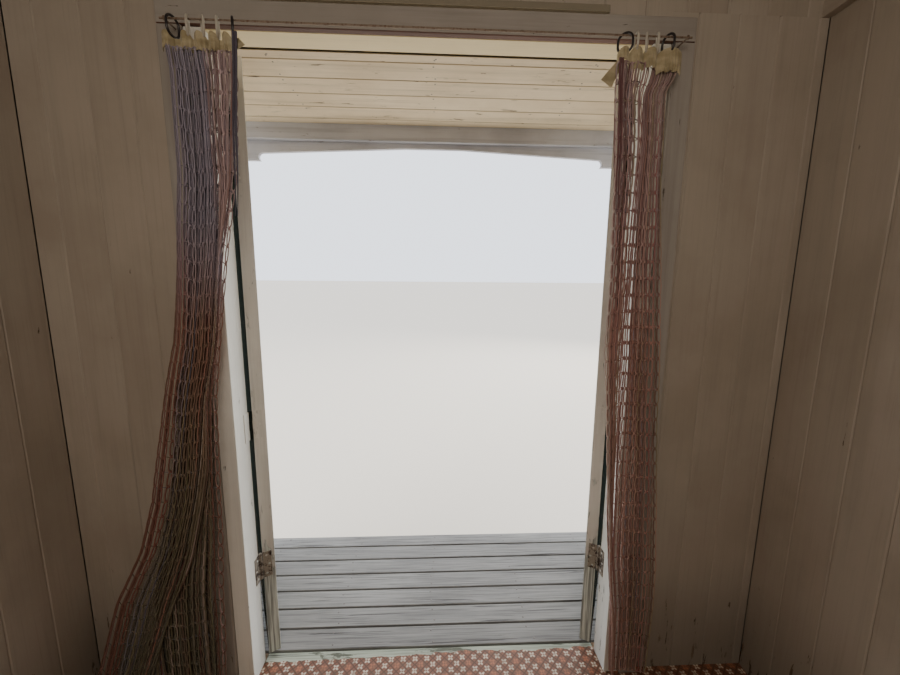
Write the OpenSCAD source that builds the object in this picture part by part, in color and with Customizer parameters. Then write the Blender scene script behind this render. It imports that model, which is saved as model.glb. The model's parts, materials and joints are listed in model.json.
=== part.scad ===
// Timber beach hut: one room with a covered porch, a boarded gable roof and a pair of outward doors.
// The front faces -Y. Left and right are as seen by someone who stands outside and faces the front.
// The origin is on the ground under the middle of the roof.

/* [Room] */
// Width over the side walls
hut_w = 2440; // [2100:10:3000]
// Length of the room over its end walls
room_l = 2440; // [2000:10:3600]
// Height of the walls above the floor, to the underside of the wall plates
wall_h = 2200; // [2180:5:2500]
// Thickness of the side and back walls
side_wall_t = 60; // [40:5:90]
// Thickness of the front wall
front_wall_t = 75; // [60:5:90]
// Width of a wall plate
plate_w = 85; // [65:5:110]
// Height of a wall plate
plate_h = 60; // [45:5:90]

/* [Foundation and floor] */
// Height of the pier blocks
pier_h = 215; // [100:5:500]
// Length of a pier block's side
pier_side = 300; // [200:10:450]
// How far the first row of blocks stands back from the front of the deck
pier_inset = 40; // [0:5:200]
// Height of the bearers
bearer_h = 75; // [50:5:150]
// Width of the bearers
bearer_w = 100; // [75:5:150]
// Number of bearers
bearer_count = 4; // [3:1:6]
// Height of the joists
joist_h = 100; // [75:5:175]
// Width of the joists
joist_w = 50; // [38:2:75]
// Number of joists
joist_count = 7; // [5:1:9]
// Thickness of the floor boards and the deck boards
board_t = 28; // [19:1:38]
// Thickness of the floor covering
covering_t = 3; // [2:1:6]
// Thickness of the skirt boards round the floor
skirt_t = 20; // [15:1:30]

/* [Porch] */
// Depth of the porch, from the front wall to the front of the posts
porch_d = 699; // [660:1:1200]
// Spacing of the deck boards
deck_pitch = 97; // [80:1:150]
// Gap between deck boards
deck_gap = 8; // [4:1:12]
// Side of a porch post
post_side = 75; // [60:5:100]
// Thickness of the porch beam
beam_t = 28; // [20:2:60]
// Height of the porch beam
beam_h = 150; // [100:5:200]
// Height of the underside of the porch beam above the deck
beam_under = 2092; // [2060:2:2120]
// Height of the porch ceiling above the deck
ceiling_under = 2165; // [2130:5:2200]
// Thickness of the porch ceiling
ceiling_t = 15; // [10:1:20]
// Width of a ceiling joist
ceiling_joist_w = 45; // [38:1:60]
// Height of a ceiling joist
ceiling_joist_h = 60; // [45:5:75]
// Number of ceiling joists
ceiling_joist_count = 5; // [3:1:7]
// Gap between the ceiling and the inside of the porch posts
ceiling_gap = 5; // [0:1:15]

/* [Arched board] */
// Thickness of the arched board
arch_t = 22; // [15:1:30]
// Height of the crown of the arch above the deck
arch_crown = 2070; // [2040:2:2090]
// Height of the ends of the arch above the deck
arch_spring = 2036; // [2020:2:2050]
// Height of the straight ends of the arched board above the deck
arch_return = 2000; // [1960:5:2010]
// Width of the arch between the round nicks
arch_w = 1662; // [1400:2:2000]
// Radius of the round nick at each end of the arch
nick_r = 20; // [12:1:30]

/* [Doorway] */
// Clear width between the door posts
door_clear_w = 1264; // [1000:2:1400]
// Clear height above the floor
door_clear_h = 2110; // [1950:5:2130]
// Width of a door post
post_w = 53; // [40:1:75]
// How far a door post stands past the wall inside, beside the architrave
post_lip = 12; // [4:1:20]
// How far the door posts stand in front of the wall
post_proud = 3; // [0:1:10]
// Thickness of the door head
head_t = 35; // [25:1:50]
// Depth of the threshold board
sill_d = 70; // [60:1:90]
// How far the threshold and the floor boards stand in front of the wall
sill_proud = 30; // [10:1:36]
// How far the floor covering laps over the threshold
covering_lap = 40; // [5:1:50]
// Width of the architrave
architrave_w = 65; // [50:1:80]
// Thickness of the architrave
architrave_t = 22; // [12:1:30]
// Height of the thin batten over the architrave
batten_h = 18; // [8:1:20]
// How far the batten stands out from the wall
batten_t = 15; // [8:1:20]
// Gap between the architrave and the batten
batten_lift = 10; // [3:1:12]
// Left end of the batten from the middle of the doorway
batten_left = 498; // [300:1:650]
// Right end of the batten from the middle of the doorway
batten_right = 755; // [300:1:900]

/* [Doors] */
// How far the doors stand open, from shut
door_open = 118; // [0:1:170]
// Thickness of a door
door_t = 42; // [36:1:50]
// Gap between a door and its post
side_gap = 6; // [5:1:10]
// Gap between the two doors when both are shut
meeting_gap = 10; // [9:1:16]
// Gap over a door
top_gap = 6; // [5:1:10]
// Height of the bottom of a door above the deck
door_bottom = 13; // [12:1:40]
// Width of a stile and of the top rail
stile_w = 95; // [70:5:120]
// Height of the bottom rail
bottom_rail_h = 190; // [120:5:250]
// Height of the lock rail
lock_rail_h = 140; // [90:5:200]
// Height of the middle of the lock rail above the deck
lock_rail_z = 980; // [850:5:1100]
// Thickness of the boards in a door
door_board_t = 18; // [12:1:20]
// Width of a brace
brace_w = 90; // [60:5:110]

/* [Hinges] */
// Heights of the middles of the hinges above the deck
hinge_z = [390, 930, 1780];
// Length of a hinge
hinge_l = 100; // [75:1:125]
// Outer radius of the hinge knuckle
knuckle_r = 6.5; // [5:0.5:8]
// Radius of the hinge pin
pin_r = 3; // [2:0.5:4]
// Thickness of a hinge flap
flap_t = 2.2; // [1.5:0.1:2.4]
// Width of a hinge flap behind the face of the door
flap_w = 30; // [20:1:36]
// Distance of the pin in front of the door
pin_proud = 7; // [7:0.5:10]

/* [Roof] */
// Slope of the roof in degrees
pitch = 44; // [35:1:50]
// How far the roof reaches beyond each side wall
eaves_out = 106; // [70:2:250]
// Length of the roof beyond the porch and beyond the back wall
verge = 95; // [70:5:250]
// Depth of a rafter, square to the slope
rafter_d = 75; // [60:5:120]
// Thickness of a rafter
rafter_t = 40; // [30:1:60]
// How far the rafters are let down over the wall plates
birdsmouth = 20; // [10:1:30]
// Number of pairs of rafters over the room
room_rafters = 5; // [4:1:7]
// Thickness of the roof boards
roof_board_t = 18; // [12:1:25]
// Thickness of the roofing felt
felt_t = 4; // [2:1:6]
// Thickness of the ridge board
ridge_t = 25; // [20:1:40]
// Height of the ridge board
ridge_h = 125; // [100:5:175]
// Width of each side of the ridge cap
ridge_cap_w = 110; // [80:5:160]
// Thickness of the ridge cap
ridge_cap_t = 3; // [2:1:5]
// Thickness of the barge boards and of the eaves boards
barge_t = 22; // [16:1:30]
// Depth of a barge board, square to the slope
barge_d = 140; // [110:5:180]

/* [Trim] */
// Width of a corner board
corner_w = 70; // [50:5:100]
// Thickness of a corner board
corner_t = 18; // [12:1:22]

/* [Curtains] */
// Radius of the curtain rod
rod_r = 2.5; // [2:0.5:4]
// Height of the curtain rod above the floor
rod_z = 2095; // [2080:1:2100]
// Distance of the curtain rod from the face of the architrave
rod_out = 45; // [40:1:60]
// How far the rod runs past each screw eye
rod_past = 12; // [5:1:20]
// Distance of a screw eye from the edge of the door post
eye_out = 12; // [5:1:40]
// Width of a curtain ring, to the middle of its wire
ring_w = 38; // [30:1:44]
// Height of a curtain ring, to the middle of its wire
ring_h = 50; // [44:1:60]
// Radius of the wire of a curtain ring
ring_wire_r = 3.2; // [2:0.2:4]
// Number of rings on each curtain
ring_count = 5; // [2:1:5]
// Spacing of the left curtain's rings, and of the right curtain's
ring_pitch = [30, 38];
// Distance of the outer ring from the screw eye, on the left and on the right
ring_inset = [54, 20];
// Depth of the folds of a curtain
curtain_d = 50; // [30:1:70]

/* [Hidden] */
$fn = 48;
eps = 0.01;

// Running clearance round a hinge pin, and between the knuckles along it
pin_gap = 0.05;
knuckle_gap = 0.4;
// Gap that keeps a hanging piece just clear of what carries it
hang_gap = 0.3;
// Slit between the two slopes of boards or felt at the ridge
ridge_slit = 2;

// Levels
bearer_z = pier_h;
joist_z = bearer_z + bearer_h;
board_z = joist_z + joist_h;
floor_z = board_z + board_t;
plate_z = floor_z + wall_h;
plate_top = plate_z + plate_h;

// Places along the hut
total_l = porch_d + room_l + 2 * verge;
front_y = -total_l / 2 + verge + porch_d;
back_y = front_y + room_l;
deck_y = front_y - porch_d;
roof_front = -total_l / 2;
roof_back = total_l / 2;
inside_y = front_y + front_wall_t;
sill_y = front_y - sill_proud;
half_w = hut_w / 2;
inner_half = half_w - side_wall_t;

// Doorway and doors
door_half = door_clear_w / 2;
post_back = door_half + post_w;
post_d = post_proud + front_wall_t + post_lip;
door_face_y = front_y - post_proud;
pin_x = door_half - side_gap / 2;
pin_y = door_face_y - pin_proud;
leaf_x = side_gap / 2;
leaf_w = door_half - side_gap - meeting_gap / 2;
leaf_top = door_clear_h - top_gap;
rail_t = door_t - door_board_t;

// Roof: the line of the rafter tops, as a height at a distance from the middle
slope = tan(pitch);
rise_of = 1 / cos(pitch);
peak_z = plate_top - birdsmouth + rafter_d * rise_of + half_w * slope;
function top_z(x) = peak_z - abs(x) * slope;
eave_half = half_w + eaves_out;
rafter_half = eave_half - barge_t;

module box(x, y, z) {
    translate([x[0], y[0], z[0]]) cube([x[1] - x[0], y[1] - y[0], z[1] - z[0]]);
}

module both_sides() {
    children();
    mirror([1, 0, 0]) children();
}

// An outline in X and Z, made solid from y[0] to y[1]
module across(y) {
    translate([0, y[1], 0]) rotate([90, 0, 0]) linear_extrude(y[1] - y[0]) children();
}

// Foundation and floor
module pier_blocks() color("lightslategray") {
    step_x = (hut_w - pier_side) / 2;
    for (i = [-1 : 1], y = bearer_places())
        box([i * step_x - pier_side / 2, i * step_x + pier_side / 2],
            [y - pier_side / 2, y + pier_side / 2], [0, pier_h]);
}

function bearer_places() = let (
    first = deck_y + pier_side / 2 + pier_inset,
    last = back_y - pier_side / 2
) [for (i = [0 : bearer_count - 1]) first + i * (last - first) / (bearer_count - 1)];

module bearers() color("saddlebrown") {
    for (y = bearer_places())
        box([-half_w, half_w], [y - bearer_w / 2, y + bearer_w / 2], [bearer_z, joist_z]);
}

module floor_joists() color("peru") {
    step = (hut_w - joist_w) / (joist_count - 1);
    for (i = [0 : joist_count - 1])
        box([-half_w + i * step, -half_w + i * step + joist_w], [deck_y + skirt_t, back_y], [joist_z, board_z]);
}

// The floor runs out under the front wall, and is notched there for the threshold board
module floor_boards() color("burlywood") {
    difference() {
        box([-half_w, half_w], [sill_y, back_y], [board_z, floor_z]);
        box([-door_half, door_half], [sill_y - 1, sill_y + sill_d], [board_z - 1, floor_z + 1]);
    }
}

module threshold() color("darkseagreen") {
    box([-door_half, door_half], [sill_y, sill_y + sill_d], [board_z, floor_z]);
}

module floor_covering() color("sienna") {
    post_back_y = door_face_y + post_d;
    covering_y = sill_y + sill_d - covering_lap;
    translate([0, 0, floor_z]) linear_extrude(covering_t) difference() {
        union() {
            translate([-inner_half, inside_y]) square([2 * inner_half, back_y - side_wall_t - inside_y]);
            translate([-door_half, covering_y]) square([door_clear_w, inside_y - covering_y + eps]);
        }
        for (x = [-post_back, door_half]) translate([x, inside_y - eps])
            square([post_w, post_back_y - inside_y + eps]);
    }
}

module deck_boards() color("lightsteelblue") {
    first = sill_y - deck_gap;
    count = ceil((first - deck_y) / deck_pitch);
    for (i = [0 : count - 1])
        box([-half_w, half_w], [max(deck_y, first - i * deck_pitch - deck_pitch + deck_gap),
            first - i * deck_pitch], [board_z, floor_z]);
}

module skirt_sides() color("lightgray") {
    both_sides() box([half_w, half_w + skirt_t], [deck_y, back_y], [joist_z, floor_z]);
}

module skirt_ends() color("gray") {
    box([-half_w, half_w], [deck_y, deck_y + skirt_t], [joist_z, board_z]);
    box([-half_w - skirt_t, half_w + skirt_t], [back_y, back_y + skirt_t], [joist_z, floor_z]);
}

// Walls
module side_wall() {
    box([inner_half, half_w], [front_y, back_y], [floor_z, plate_z]);
}
module side_wall_left() color("antiquewhite") mirror([1, 0, 0]) side_wall();
module side_wall_right() color("antiquewhite") side_wall();

module back_wall() color("linen") {
    box([-inner_half, inner_half], [back_y - side_wall_t, back_y], [floor_z, plate_z]);
}

module front_panel() {
    box([post_back, inner_half], [front_y, inside_y], [floor_z, plate_z]);
}
module front_wall_left() color("linen") mirror([1, 0, 0]) front_panel();
module front_wall_right() color("linen") front_panel();

module front_wall_over_door() color("linen") {
    box([-post_back, post_back], [front_y, inside_y], [floor_z + door_clear_h + head_t, plate_z]);
}

// A wall above the plates, with notches for the plates and the ridge board
module gable(y, low) {
    difference() {
        across(y) polygon([[-half_w, low], [half_w, low], [half_w, top_z(half_w)], [0, peak_z],
            [-half_w, top_z(half_w)]]);
        plates();
        ridge(ridge_t);
    }
}
module back_gable() color("linen") gable([back_y - side_wall_t, back_y], plate_z);
module front_wall_gable() color("linen") gable([front_y, inside_y], plate_z);
module porch_gable() color("wheat") gable([deck_y - beam_t, deck_y], floor_z + beam_under + beam_h);

module corner_board() {
    translate([0, 0, floor_z]) linear_extrude(wall_h) difference() {
        translate([half_w - corner_w, -corner_t]) square([corner_w + corner_t, corner_w + corner_t]);
        translate([half_w - corner_w - 1, 0]) square([corner_w + 1, corner_w + 1]);
    }
}
module corner_boards() color("white") {
    both_sides() {
        translate([0, front_y, 0]) corner_board();
        translate([0, back_y, 0]) mirror([0, 1, 0]) corner_board();
    }
}

module plates() {
    both_sides() box([half_w - plate_w, half_w], [deck_y, back_y], [plate_z, plate_top]);
}
module wall_plates() color("tan") plates();

// Porch
module porch_posts() color("gainsboro") {
    both_sides() box([half_w - post_side, half_w], [deck_y, deck_y + post_side], [floor_z, plate_z]);
}

module porch_beam() color("rosybrown") {
    box([-half_w, half_w], [deck_y - beam_t, deck_y], [floor_z + beam_under, floor_z + beam_under + beam_h]);
}

module porch_arch() color("thistle") {
    rise = arch_crown - arch_spring;
    half = arch_w / 2;
    arch_r = (half * half + rise * rise) / (2 * rise);
    translate([0, 0, floor_z]) across([deck_y - beam_t - arch_t, deck_y - beam_t]) difference() {
        translate([-half_w, arch_return]) square([hut_w, beam_under + beam_h - arch_return]);
        intersection() {
            translate([0, arch_crown - arch_r]) circle(arch_r, $fn = 720);
            translate([-half, arch_return - 1]) square([arch_w, arch_crown - arch_return + 2]);
        }
        for (side = [-1, 1]) translate([side * half, arch_spring - nick_r]) circle(nick_r);
    }
}

module porch_ceiling() color("navajowhite") {
    half = half_w - post_side - ceiling_gap;
    box([-half, half], [deck_y, front_y], [floor_z + ceiling_under, floor_z + ceiling_under + ceiling_t]);
}

module ceiling_joists() color("peru") {
    first = -half_w + plate_w;
    step = (-2 * first - ceiling_joist_w) / (ceiling_joist_count - 1);
    low = floor_z + ceiling_under + ceiling_t;
    for (i = [0 : ceiling_joist_count - 1])
        box([first + i * step, first + i * step + ceiling_joist_w], [deck_y, front_y], [low, low + ceiling_joist_h]);
}

// Roof
module rafter_outline() {
    polygon([[ridge_t / 2, top_z(ridge_t / 2)], [rafter_half, top_z(rafter_half)],
        [rafter_half, top_z(rafter_half) - rafter_d * rise_of],
        [ridge_t / 2, top_z(ridge_t / 2) - rafter_d * rise_of]]);
}

function rafter_places() = let (
    first = inside_y,
    last = back_y - side_wall_t - rafter_t
) concat([deck_y, front_y - rafter_t],
    [for (i = [0 : room_rafters - 1]) first + i * (last - first) / (room_rafters - 1)]);

module rafters() color("burlywood") {
    difference() {
        for (y = rafter_places()) both_sides() across([y, y + rafter_t]) rafter_outline();
        plates();
    }
}

// The ridge board, or with extra height the notch for it
module ridge(extra = 0) {
    top = top_z(ridge_t / 2);
    box([-ridge_t / 2, ridge_t / 2], [deck_y, back_y], [top - ridge_h, top + extra]);
}
module ridge_board() color("sandybrown") ridge();

// A sheet on the roof: between two heights above the rafter tops, square to the slope
module slope_sheet(low, high, out) {
    polygon([[ridge_slit / 2, top_z(ridge_slit / 2) + low * rise_of], [out, top_z(out) + low * rise_of],
        [out, top_z(out) + high * rise_of], [ridge_slit / 2, top_z(ridge_slit / 2) + high * rise_of]]);
}

module roof_boards() color("khaki") {
    both_sides() across([roof_front + barge_t, roof_back - barge_t]) slope_sheet(0, roof_board_t, eave_half);
}

module roof_felt() color("dimgray") {
    both_sides() across([roof_front, roof_back]) slope_sheet(roof_board_t, roof_board_t + felt_t, eave_half);
}

module ridge_cap() color("slategray") {
    low = (roof_board_t + felt_t) * rise_of + eps;
    out = ridge_cap_w * cos(pitch);
    across([roof_front, roof_back])
        polygon([[0, peak_z + low], [out, top_z(out) + low], [out, top_z(out) + low + ridge_cap_t * rise_of],
            [0, peak_z + low + ridge_cap_t * rise_of], [-out, top_z(out) + low + ridge_cap_t * rise_of],
            [-out, top_z(out) + low]]);
}

module barge_outline() {
    high = roof_board_t * rise_of;
    low = (roof_board_t - barge_d) * rise_of;
    polygon([[ridge_slit / 2, top_z(ridge_slit / 2) + high], [eave_half, top_z(eave_half) + high],
        [eave_half, top_z(eave_half) + low], [ridge_slit / 2, top_z(ridge_slit / 2) + low]]);
}
module barge_boards() color("whitesmoke") {
    both_sides() {
        across([roof_front, roof_front + barge_t]) barge_outline();
        across([roof_back - barge_t, roof_back]) barge_outline();
    }
}

module eaves_boards() color("white") {
    both_sides() box([rafter_half, eave_half], [roof_front + barge_t, roof_back - barge_t],
        [top_z(rafter_half) - rafter_d * rise_of, top_z(eave_half)]);
}

// Doorway
module door_post() {
    box([door_half, post_back], [door_face_y, door_face_y + post_d], [floor_z, floor_z + door_clear_h]);
}
module door_post_left() color("ivory") mirror([1, 0, 0]) door_post();
module door_post_right() color("ivory") door_post();

module door_head() color("ivory") {
    box([-post_back, post_back], [door_face_y, inside_y],
        [floor_z + door_clear_h, floor_z + door_clear_h + head_t]);
}

module architrave() color("beige") {
    across([inside_y, inside_y + architrave_t]) translate([0, floor_z]) difference() {
        translate([-post_back - architrave_w, covering_t])
            square([2 * (post_back + architrave_w), door_clear_h + architrave_w - covering_t]);
        translate([-post_back, 0]) square([2 * post_back, door_clear_h]);
    }
}

module head_batten() color("darkslategray") {
    low = floor_z + door_clear_h + architrave_w + batten_lift;
    box([-batten_left, batten_right], [inside_y, inside_y + batten_t], [low, low + batten_h]);
}

// Doors, drawn shut with the hinge pin at the origin and the door towards +X, then swung out
module hang_door() {
    translate([-pin_x, pin_y, floor_z]) rotate([0, 0, -door_open]) children();
}

module brace(low, high) {
    across([pin_proud + door_board_t, pin_proud + door_t]) {
        x0 = leaf_x + stile_w;
        x1 = leaf_x + leaf_w - stile_w;
        polygon([[x0, low], [x0 + brace_w, low], [x1, high], [x1 - brace_w, high]]);
    }
}

module door_frame() {
    x0 = leaf_x;
    x1 = leaf_x + leaf_w;
    back = pin_proud + door_t;
    mid = back - rail_t;
    lock_low = lock_rail_z - lock_rail_h / 2;
    box([x0, x0 + stile_w], [pin_proud, back], [door_bottom, leaf_top]);
    box([x1 - stile_w, x1], [pin_proud, back], [door_bottom, leaf_top]);
    box([x0, x1], [pin_proud, back], [leaf_top - stile_w, leaf_top]);
    box([x0, x1], [mid, back], [lock_low, lock_low + lock_rail_h]);
    box([x0, x1], [mid, back], [door_bottom, door_bottom + bottom_rail_h]);
    brace(door_bottom + bottom_rail_h, lock_low);
    brace(lock_low + lock_rail_h, leaf_top - stile_w);
}

module door_boards() {
    box([leaf_x + stile_w, leaf_x + leaf_w - stile_w], [pin_proud, pin_proud + door_board_t],
        [door_bottom, leaf_top - stile_w]);
}

// One half of a butt hinge: its knuckles, the flap behind the door's face and the necks between them
module hinge_half(sides, knuckles) {
    third = hinge_l / 3;
    near = side_gap / 2 - flap_t;
    flap_x = sides > 0 ? [near, side_gap / 2] : [-side_gap / 2, -near];
    for (k = knuckles) {
        low = -hinge_l / 2 + k * third + knuckle_gap / 2;
        translate([0, 0, low]) cylinder(h = third - knuckle_gap, r = knuckle_r);
        box(flap_x, [0, pin_proud + 2], [low, low + third - knuckle_gap]);
    }
    box(flap_x, [pin_proud + 1, pin_proud + flap_w], [-hinge_l / 2, hinge_l / 2]);
}

module door_hinges() {
    for (z = hinge_z) translate([0, 0, z]) difference() {
        hinge_half(1, [1]);
        cylinder(h = hinge_l, r = pin_r + pin_gap, center = true);
    }
}

module post_hinge() {
    for (z = hinge_z) translate([-pin_x, pin_y, floor_z + z]) {
        hinge_half(-1, [0, 2]);
        cylinder(h = hinge_l, r = pin_r, center = true);
    }
}

module left_door_frame() color("silver") hang_door() door_frame();
module left_door_boards() color("lightgray") hang_door() door_boards();
module left_door_hinges() color("dimgray") hang_door() door_hinges();
module right_door_frame() color("silver") mirror([1, 0, 0]) hang_door() door_frame();
module right_door_boards() color("lightgray") mirror([1, 0, 0]) hang_door() door_boards();
module right_door_hinges() color("dimgray") mirror([1, 0, 0]) hang_door() door_hinges();
module post_hinges() color("black") both_sides() post_hinge();

// Curtains: a thin rod in two screw eyes, rings on it, and two bunched lengths of netting
rod_y = inside_y + architrave_t + rod_out;
eye_x = post_back + eye_out;
eye_r = rod_r + 1.6;
eye_wire_r = 1.8;
ring_top = rod_z + rod_r + hang_gap + ring_wire_r;
ring_low = ring_top - ring_h - ring_wire_r;
curtain_top = ring_low - hang_gap;

module curtain_rod() color("dimgray") {
    half = eye_x + rod_past;
    translate([-half, rod_y, floor_z + rod_z]) rotate([0, 90, 0]) cylinder(h = 2 * half, r = rod_r);
    both_sides() translate([eye_x, rod_y, floor_z + rod_z]) {
        rotate([0, 90, 0]) rotate_extrude() translate([eye_r, 0]) circle(eye_wire_r, $fn = 16);
        rotate([90, 0, 0]) translate([0, 0, eye_r]) cylinder(h = rod_out - eye_r, r = eye_wire_r);
    }
}

// A ring of round wire: two half circles joined by straight sides, hung from its top
module ring(x, turn) {
    bend_r = ring_w / 2;
    straight = ring_h - ring_w;
    translate([x, rod_y, floor_z + ring_top - bend_r]) rotate([0, 0, turn]) rotate([90, 0, 90]) {
        half_ring(bend_r);
        translate([0, -straight, 0]) mirror([0, 1, 0]) half_ring(bend_r);
        for (side = [-1, 1]) translate([side * bend_r, 0, 0])
            rotate([90, 0, 0]) cylinder(h = straight, r = ring_wire_r, $fn = 16);
    }
}

module half_ring(bend_r) {
    rotate_extrude(angle = 180) translate([bend_r, 0]) circle(ring_wire_r, $fn = 16);
}

ring_turns = [[20, -22, -30, -12, 55], [-12, 22, 34, 20, 25]];
module curtain_rings() color("black") {
    for (side = [0, 1], i = [0 : ring_count - 1])
        ring((side == 0 ? -1 : 1) * (eye_x - ring_inset[side] - i * ring_pitch[side]), ring_turns[side][i]);
}

// A curtain from rows of its height and the distances of its two edges inward from the screw eye
module curtain(rows) {
    inner = [for (row = rows) [eye_x - row[1], row[0]]];
    outer = [for (i = [len(rows) - 1 : -1 : 0]) [eye_x - rows[i][2], rows[i][0]]];
    across([rod_y - curtain_d / 2, rod_y + curtain_d / 2]) translate([0, floor_z]) polygon(concat(inner, outer));
}
module curtain_left() color("maroon") mirror([1, 0, 0]) curtain([
    [curtain_top, 192, 12], [1985, 232, 25], [1957, 228, 43], [1940, 203, 46], [1720, 186, 39],
    [1476, 180, 20], [1223, 179, -4], [1015, 163, -15], [724, 140, -39], [468, 115, -60],
    [315, 96, -61], [40, 77, -55]
]);
module curtain_right() color("maroon") curtain([
    [curtain_top, 197, -3], [1960, 177, 7], [1700, 156, 3], [1471, 114, -18], [1243, 81, -52],
    [1071, 52, -98], [912, 45, -135], [749, 36, -167], [578, 27, -223], [400, 17, -311],
    [128, 7, -401], [40, 5, -420]
]);

pier_blocks();
bearers();
floor_joists();
floor_boards();
threshold();
floor_covering();
deck_boards();
skirt_sides();
skirt_ends();
side_wall_left();
side_wall_right();
back_wall();
back_gable();
front_wall_left();
front_wall_right();
front_wall_over_door();
front_wall_gable();
corner_boards();
wall_plates();
porch_posts();
porch_beam();
porch_gable();
porch_arch();
porch_ceiling();
ceiling_joists();
rafters();
ridge_board();
roof_boards();
roof_felt();
ridge_cap();
barge_boards();
eaves_boards();
door_post_left();
door_post_right();
door_head();
architrave();
head_batten();
post_hinges();
left_door_frame();
left_door_boards();
left_door_hinges();
right_door_frame();
right_door_boards();
right_door_hinges();
curtain_rod();
curtain_rings();
curtain_left();
curtain_right();
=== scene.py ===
"""Looks of a timber beach hut: one room, a covered porch, two doors that open outward and two net curtains.

The front faces -Y. Left and right are as seen by someone who stands outside and faces the front.
"""
import math
import random
from functools import partialmethod
from types import SimpleNamespace

import bmesh
import bpy
import numpy as np
from mathutils import Matrix, Vector, noise
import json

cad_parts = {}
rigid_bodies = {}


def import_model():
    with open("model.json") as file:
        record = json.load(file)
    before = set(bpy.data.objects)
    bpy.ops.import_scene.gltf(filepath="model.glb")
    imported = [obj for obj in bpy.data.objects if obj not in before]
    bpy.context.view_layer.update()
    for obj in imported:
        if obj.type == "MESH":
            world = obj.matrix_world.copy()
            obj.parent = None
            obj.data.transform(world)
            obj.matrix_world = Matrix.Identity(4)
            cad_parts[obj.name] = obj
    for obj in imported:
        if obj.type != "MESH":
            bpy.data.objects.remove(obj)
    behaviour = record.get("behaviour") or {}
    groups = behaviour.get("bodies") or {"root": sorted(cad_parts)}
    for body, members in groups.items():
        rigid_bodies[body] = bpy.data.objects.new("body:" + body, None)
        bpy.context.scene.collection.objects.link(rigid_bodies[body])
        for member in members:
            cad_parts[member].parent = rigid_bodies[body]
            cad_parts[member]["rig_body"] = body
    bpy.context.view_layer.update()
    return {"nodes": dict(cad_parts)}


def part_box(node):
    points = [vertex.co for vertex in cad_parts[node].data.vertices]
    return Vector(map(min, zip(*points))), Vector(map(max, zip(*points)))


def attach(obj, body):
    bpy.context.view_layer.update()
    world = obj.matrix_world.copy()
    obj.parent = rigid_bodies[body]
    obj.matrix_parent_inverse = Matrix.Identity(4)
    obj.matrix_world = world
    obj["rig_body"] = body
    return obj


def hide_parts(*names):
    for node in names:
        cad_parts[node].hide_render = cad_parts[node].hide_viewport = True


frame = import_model()
nodes = frame["nodes"]

# View
# The eye is 1.43 m above the floor in the middle of the room, and looks out through the doorway,
# a little down and a little to the left door. The lens is very wide, because the room is small.
EYE = (0.0, 0.3965, 1.8494)
LOOK_DOWN, LOOK_ASIDE, TILT = math.radians(8.608), math.radians(2.544), math.radians(0.481)
LENS, SENSOR, NEAREST, FARTHEST = 15.187, 36.0, 0.02, 1000.0


def link(name, data):
    """A new object at the origin for this mesh, lamp or lens."""
    made = bpy.data.objects.new(name, data)
    bpy.context.scene.collection.objects.link(made)
    return made


lens = bpy.data.cameras.new("eye")
lens.lens, lens.sensor_width, lens.clip_start, lens.clip_end = LENS, SENSOR, NEAREST, FARTHEST
camera = link("eye", lens)
camera.matrix_world = (Matrix.Translation(EYE) @ Matrix.Rotation(math.pi - LOOK_ASIDE, 4, "Z")
                       @ Matrix.Rotation(math.pi / 2 - LOOK_DOWN, 4, "X") @ Matrix.Rotation(TILT, 4, "Z"))
bpy.context.scene.camera = camera

# Floor of the studio and its light
# A plain pale floor with soft light from a bright sky, a broad lamp on each side of the hut,
# and a weak one in the room, behind the eye.
FLOOR_HALF, SKY, SKY_STRENGTH = 400.0, (0.86, 0.91, 1.0), 2.3
LAMPS = {  # place, what it points at, width, watts, colour
    "front_lamp": ((-4.5, -8.5, 6.0), (0, 0, 1.5), 5.0, 600.0, (1.0, 0.97, 0.92)),
    "back_lamp": ((7.0, 7.5, 6.5), (0, 0, 1.5), 5.0, 600.0, (1.0, 0.97, 0.92)),
    "room_lamp": ((0.15, 1.1, 2.55), (0, -0.8, 1.3), 0.9, 13.0, (1.0, 0.87, 0.74)),
}


class Wire:
    """One output of a node. Arithmetic on it adds Math nodes."""

    def __init__(self, nodes, socket):
        self.nodes, self.socket = nodes, socket

    def math(self, operation, *others):
        return self.nodes.node("ShaderNodeMath", dict(enumerate((self, *others))), operation=operation)

    def __rsub__(self, other):
        return self * -1.0 + other

    __add__ = __radd__ = partialmethod(math, "ADD")
    __mul__ = __rmul__ = partialmethod(math, "MULTIPLY")
    __sub__, __truediv__ = partialmethod(math, "SUBTRACT"), partialmethod(math, "DIVIDE")
    __gt__, __lt__ = partialmethod(math, "GREATER_THAN"), partialmethod(math, "LESS_THAN")

    def between(self, low, high):
        """0 below low and 1 above high, with a smooth step in between."""
        return self.nodes.node("ShaderNodeMapRange", {"Value": self, "From Min": low, "From Max": high},
                               interpolation_type="SMOOTHSTEP")


class Nodes:
    """A node tree in the making. node() adds a node of any type and gives back one of its outputs."""

    def __init__(self, tree):
        self.tree = tree

    def feed(self, node, sockets):
        """Links each of these sockets to its wire, or sets it to its value."""
        for key, value in sockets.items():
            if isinstance(value, Wire):
                self.tree.links.new(value.socket, node.inputs[key])
            else:
                node.inputs[key].default_value = value

    def node(self, kind, sockets={}, output=0, **settings):
        made = self.tree.nodes.new(kind)
        for key, value in settings.items():
            setattr(made, key, value)
        self.feed(made, sockets)
        return Wire(self, made.outputs[output])

    def axes(self, vector):
        """The three numbers of a vector."""
        split = self.tree.nodes.new("ShaderNodeSeparateXYZ")
        self.feed(split, {0: vector})
        return [Wire(self, s) for s in split.outputs]

    def vector(self, x, y, z):
        return self.node("ShaderNodeCombineXYZ", {"X": x, "Y": y, "Z": z})


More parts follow.
